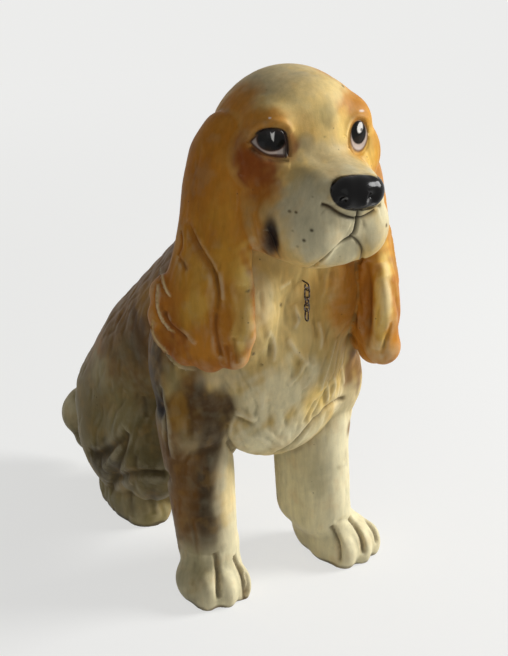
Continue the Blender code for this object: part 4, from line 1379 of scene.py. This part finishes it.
def parted(name, paint):
    # one casting: its own faces, each open rim closed inside the clay, and the whole skin's shading
    row = groupNames.index(name)
    chosen = np.where(faceOwner == row)[0]
    spans = zip(faceStart[chosen], faceSize[chosen])
    faces = [cornerPoints[start:start + size].tolist() for start, size in spans]
    used = sorted({point for face in faces for point in face})
    loops = rimLoops(faces)
    caps = []
    for index, run in enumerate(loops):
        caps += [[first, second, -1 - index] for first, second in zip(run, run[1:] + run[:1])]
    renumbered = {point: index for index, point in enumerate(used)}
    renumbered.update({-1 - index: len(used) + index for index in range(len(loops))})
    middles = [framePoints[run].mean(axis=0) for run in loops]
    places = np.concatenate([framePoints[used], np.array(middles).reshape(-1, 3)])
    mesh = bpy.data.meshes.new(name)
    mesh.from_pydata(places.tolist(), [], [[renumbered[point] for point in face] for face in faces + caps])
    mesh.shade_smooth()
    source = used + [run[0] for run in loops]
    values = {
        # kind, field, value of every point
        "coat": ("FLOAT_COLOR", "color", np.concatenate([coat, np.ones((count, 1))], axis=1)),
        "gloss": ("FLOAT", "value", gloss),
        "hollow": ("FLOAT", "value", hollow),
        "edgeSheenAndWear": ("FLOAT", "value", edgeSheenAndWear),
    }
    for key, (kind, field, value) in values.items():
        made = mesh.attributes.new(key, kind, "POINT")
        made.data.foreach_set(field, value[source].astype(np.float32).reshape(-1))
    corners = np.array([point for face in faces for point in face])
    shading = facingNow[corners].tolist()
    for polygon in mesh.polygons[len(faces):]:
        shading += [tuple(polygon.normal)] * 3
    mesh.normals_split_custom_set(shading)
    mesh.materials.append(paint)
    piece = placed(name, mesh)
    node, slot = castings[name]
    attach(piece, "porcelain")
    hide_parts(node)
    print(name, len(faces), "faces,", len(loops), "rims")
    return piece


# Materials

class Signal:
    # a value socket of a node tree, so that shader sums can be written as sums

    def __init__(self, paint, socket):
        self.paint = paint
        self.socket = socket

    def math(self, operation, first, second):
        return self.paint.node("ShaderNodeMath", {"operation": operation}, {0: first, 1: second})

    def __add__(self, other):
        return self.math("ADD", self, other)

    __radd__ = __add__

    def __mul__(self, other):
        return self.math("MULTIPLY", self, other)

    __rmul__ = __mul__

    def __sub__(self, other):
        return self.math("SUBTRACT", self, other)

    def __rsub__(self, other):
        return self.math("SUBTRACT", other, self)

    def between(self, low, high):
        limits = {"Value": self, "From Min": low, "From Max": high}
        return self.paint.node("ShaderNodeMapRange", {"interpolation_type": "SMOOTHSTEP"}, limits)


class Paint:
    # the nodes of a material or a world under construction, and the shader that they end in

    def __init__(self, owner, shader="Principled BSDF"):
        owner.use_nodes = True
        self.owner = owner
        self.tree = owner.node_tree
        self.shader = self.tree.nodes[shader]

    def feed(self, socket, value):
        if isinstance(value, Signal):
            self.tree.links.new(value.socket, socket)
        else:
            socket.default_value = value

    def node(self, kind, settings=None, inputs=None, output=0):
        made = self.tree.nodes.new(kind)
        for name, value in (settings or {}).items():
            setattr(made, name, value)
        for name, value in (inputs or {}).items():
            self.feed(made.inputs[name], value)
        return Signal(self, made.outputs[output])

    def objectPlace(self):
        return self.node("ShaderNodeTexCoord", output="Object")

    def attribute(self, name, output="Fac"):
        return self.node("ShaderNodeAttribute", {"attribute_name": name}, output=output)

    def noise(self, place, scale, detail=3.0, roughness=0.55, output=0):
        inputs = {"Vector": place, "Scale": scale, "Detail": detail, "Roughness": roughness}
        return self.node("ShaderNodeTexNoise", {}, inputs, output)

    def stretched(self, place, scale):
        return self.node("ShaderNodeVectorMath", {"operation": "MULTIPLY"}, {0: place, 1: scale})

    def mix(self, amount, first, second):
        return self.node("ShaderNodeMix", {"data_type": "RGBA"}, {"Factor": amount, 6: first, 7: second}, 2)

    def bump(self, height, strength, distance):
        return self.node("ShaderNodeBump", {}, {"Height": height, "Strength": strength, "Distance": distance})

    def finish(self, **inputs):
        for name, value in inputs.items():
            self.feed(self.shader.inputs[name.replace("_", " ")], value)
        return self.owner


bisque = {
    "name": "paintedBisque",
    "mottleScale": 95.0,  # per metre
    "streakScale": (520.0, 520.0, 95.0),
    "grainScale": 2600.0,
    # the dark colour of the specks and of the painted shade in hollows, then the pale colour of the painted
    # highlight with wear on raised edges
    "speckAndShade": (0.045, 0.030, 0.016, 1.0),
    "sheenAndWear": (0.84, 0.74, 0.50, 1.0),
    "warm": (0.62, 0.34, 0.08, 1.0),
    "cool": (0.36, 0.36, 0.24, 1.0),
    "driftScale": 160.0,
    "speckScale": 420.0,
    "speckPatch": 130.0,
    "coatWeight": 0.16,
    "coatRoughness": 0.08,
    "specular": 0.07,
    "roughness": 0.46,
    "glossRoughness": 0.22,
    "grainHeight": 0.00006,
}


def bisqueMaterial():
    paint = Paint(bpy.data.materials.new(bisque["name"]))
    place = paint.objectPlace()
    coatColour = paint.attribute("coat", "Color")
    glossHere = paint.attribute("gloss")
    hollowHere = paint.attribute("hollow")
    edgeSheenHere = paint.attribute("edgeSheenAndWear")
    mottle = paint.noise(place, bisque["mottleScale"], 5.0, 0.62)
    streak = paint.noise(paint.stretched(place, bisque["streakScale"]), 1.0, 4.0, 0.6)
    grain = paint.noise(place, bisque["grainScale"], 2.0, 0.5)
    matt = 1.0 - glossHere
    tone = 1.0 + matt * ((mottle - 0.5) * 0.50 + (streak - 0.5) * 0.55 + (grain - 0.5) * 0.10)
    toned = paint.node("ShaderNodeVectorMath", {"operation": "SCALE"}, {0: coatColour, "Scale": tone})
    drift = paint.noise(place, bisque["driftScale"], 3.0, 0.5)
    warmed = paint.mix((drift - 0.5).between(0.02, 0.2) * matt * 0.16, toned, bisque["warm"])
    cooled = paint.mix((0.5 - drift).between(0.02, 0.2) * matt * 0.14, warmed, bisque["cool"])
    # painted shade: the hollows darkened
    shadedHollows = paint.mix(hollowHere * matt * (0.25 + 0.5 * mottle), cooled, bisque["speckAndShade"])
    # painted highlight with wear: the raised edges lightened
    sheenedEdges = paint.mix(edgeSheenHere * matt * (mottle.between(0.36, 0.62) * 0.34), shadedHollows, bisque["sheenAndWear"])
    spread = {"Vector": place, "Scale": bisque["speckScale"], "Randomness": 1.0}
    dots = paint.node("ShaderNodeTexVoronoi", {}, spread, "Distance")
    pick = paint.noise(place, bisque["speckPatch"], 1.0, 0.5)
    specks = (0.16 - dots).between(0.0, 0.08) * pick.between(0.64, 0.70) * matt
    speckled = paint.mix(specks * 0.55, sheenedEdges, bisque["speckAndShade"])
    rough = bisque["roughness"] + (mottle - 0.5) * 0.16 + hollowHere * 0.12
    rough = rough * matt + bisque["glossRoughness"] * glossHere
    surface = paint.bump(grain * matt + streak * matt * 0.8, 0.55, bisque["grainHeight"])
    return paint.finish(
        Base_Color=speckled,
        Roughness=rough,
        Normal=surface,
        Coat_Weight=glossHere * bisque["coatWeight"],
        Coat_Roughness=bisque["coatRoughness"],
        Specular_IOR_Level=bisque["specular"],
    )


bisquePaint = bisqueMaterial()
for name in castings:
    parted(name, bisquePaint)
bpy.data.objects.remove(skin, do_unlink=True)

wire = {
    "name": "tarnishedWire",
    "steel": (0.21, 0.185, 0.165, 1.0),
    "tarnish": (0.035, 0.024, 0.018, 1.0),
    "rust": (0.16, 0.06, 0.02, 1.0),
    "patchScale": 1400.0,
    "drawnScale": (2500.0, 2500.0, 9000.0),
    "pitHeight": 0.00003,
}


def wireMaterial():
    paint = Paint(bpy.data.materials.new(wire["name"]))
    place = paint.objectPlace()
    patches = paint.noise(place, wire["patchScale"], 4.0, 0.6)
    drawnMarks = paint.noise(paint.stretched(place, wire["drawnScale"]), 1.0, 3.0, 0.6)
    tarnish = (patches + 0.25 * drawnMarks).between(0.5, 0.72)
    rusty = paint.noise(place, 0.6 * wire["patchScale"], 3.0, 0.5).between(0.56, 0.68)
    darkened = paint.mix(tarnish, wire["steel"], wire["tarnish"])
    rusted = paint.mix(rusty * 0.5, darkened, wire["rust"])
    rough = 0.32 + 0.35 * tarnish + 0.2 * rusty
    metal = 1.0 - 0.7 * rusty - 0.25 * tarnish
    pits = paint.bump(patches + 0.5 * drawnMarks, 0.6, wire["pitHeight"])
    return paint.finish(Base_Color=rusted, Roughness=rough, Metallic=metal, Normal=pits)


wirePaint = wireMaterial()
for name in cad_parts:
    if name.startswith("ch"):
        cadNode = bpy.data.objects[name]
        cadNode.data.materials.clear()
        cadNode.data.materials.append(wirePaint)

# Floor, lamps and camera

work = bmesh.new()
bmesh.ops.create_grid(work, x_segments=1, y_segments=1, size=3.0)
floor = formed("floor", work)
pale = {
    "fade": (0.16, 0.55),  # metres from the middle
    "floor": (0.80, 0.80, 0.79, 1.0),
    "seenFloor": (0.30, 0.30, 0.295, 1.0),
    "glow": (0.63, 0.63, 0.62, 1.0),
    "sky": (0.84, 0.84, 0.83, 1.0),
    "none": (0.0, 0.0, 0.0, 1.0),
}


def seenRay(paint):
    # one for the rays that show the background, straight or through gloss and glass
    kinds = ("Is Camera Ray", "Is Glossy Ray", "Is Transmission Ray")
    rays = [paint.node("ShaderNodeLightPath", output=kind) for kind in kinds]
    return paint.node("ShaderNodeClamp", {}, {"Value": rays[0] + rays[1] + rays[2]})


floorPaint = Paint(bpy.data.materials.new("paleFloor"))
floorSeen = seenRay(floorPaint)
fromMiddle = {0: floorPaint.objectPlace()}
away = floorPaint.node("ShaderNodeVectorMath", {"operation": "LENGTH"}, fromMiddle, "Value")
faded = away.between(*pale["fade"])
floorColour = floorPaint.mix(floorSeen, pale["floor"], floorPaint.mix(faded, pale["seenFloor"], pale["none"]))
floorGlow = floorPaint.mix(floorSeen, pale["none"], floorPaint.mix(faded, pale["glow"], pale["sky"]))
floorLook = {"Roughness": 0.9, "Specular_IOR_Level": 0.0, "Emission_Strength": 1.0}
floor.data.materials.append(floorPaint.finish(Base_Color=floorColour, Emission_Color=floorGlow, **floorLook))


def lamp(name, place, size, power):
    light = bpy.data.lights.new(name, "AREA")
    light.shape = "DISK"
    light.size = size
    light.energy = power
    made = placed(name, light)
    made.location = place
    made.rotation_euler = (Vector(studio["aim"]) - Vector(place)).to_track_quat("-Z", "Y").to_euler()


studio = {
    "aim": (0, 0, 0.09),
    "colour": (0.84, 0.85, 0.87, 1.0),
    "strength": 0.20,
    # place in metres, size, watts
    "lamps": {"keyLamp": ((0.84, -0.32, 0.50), 0.45, 11.0), "fillLamp": ((-0.7, -0.9, 0.6), 0.9, 1.2)},
}
for name, how in studio["lamps"].items():
    lamp(name, *how)
stage.world = bpy.data.worlds.new("studio")
sky = Paint(stage.world, "Background")
skySeen = seenRay(sky)
skyColour = sky.mix(skySeen, studio["colour"], pale["sky"])
sky.finish(Color=skyColour, Strength=studio["strength"] + skySeen * (1.0 - studio["strength"]))

cameraData = bpy.data.cameras.new("shot")
cameraData.lens = shot["lens"]
cameraData.sensor_width = shot["sensor"]
camera = placed("shot", cameraData)
camera.location = Vector((eyePoint - sculptZero) * mm)
camera.rotation_mode = "QUATERNION"
camera.rotation_quaternion = Vector(-backAxis).to_track_quat("-Z", "Y")
stage.camera = camera
stage.view_settings.view_transform = "Standard"
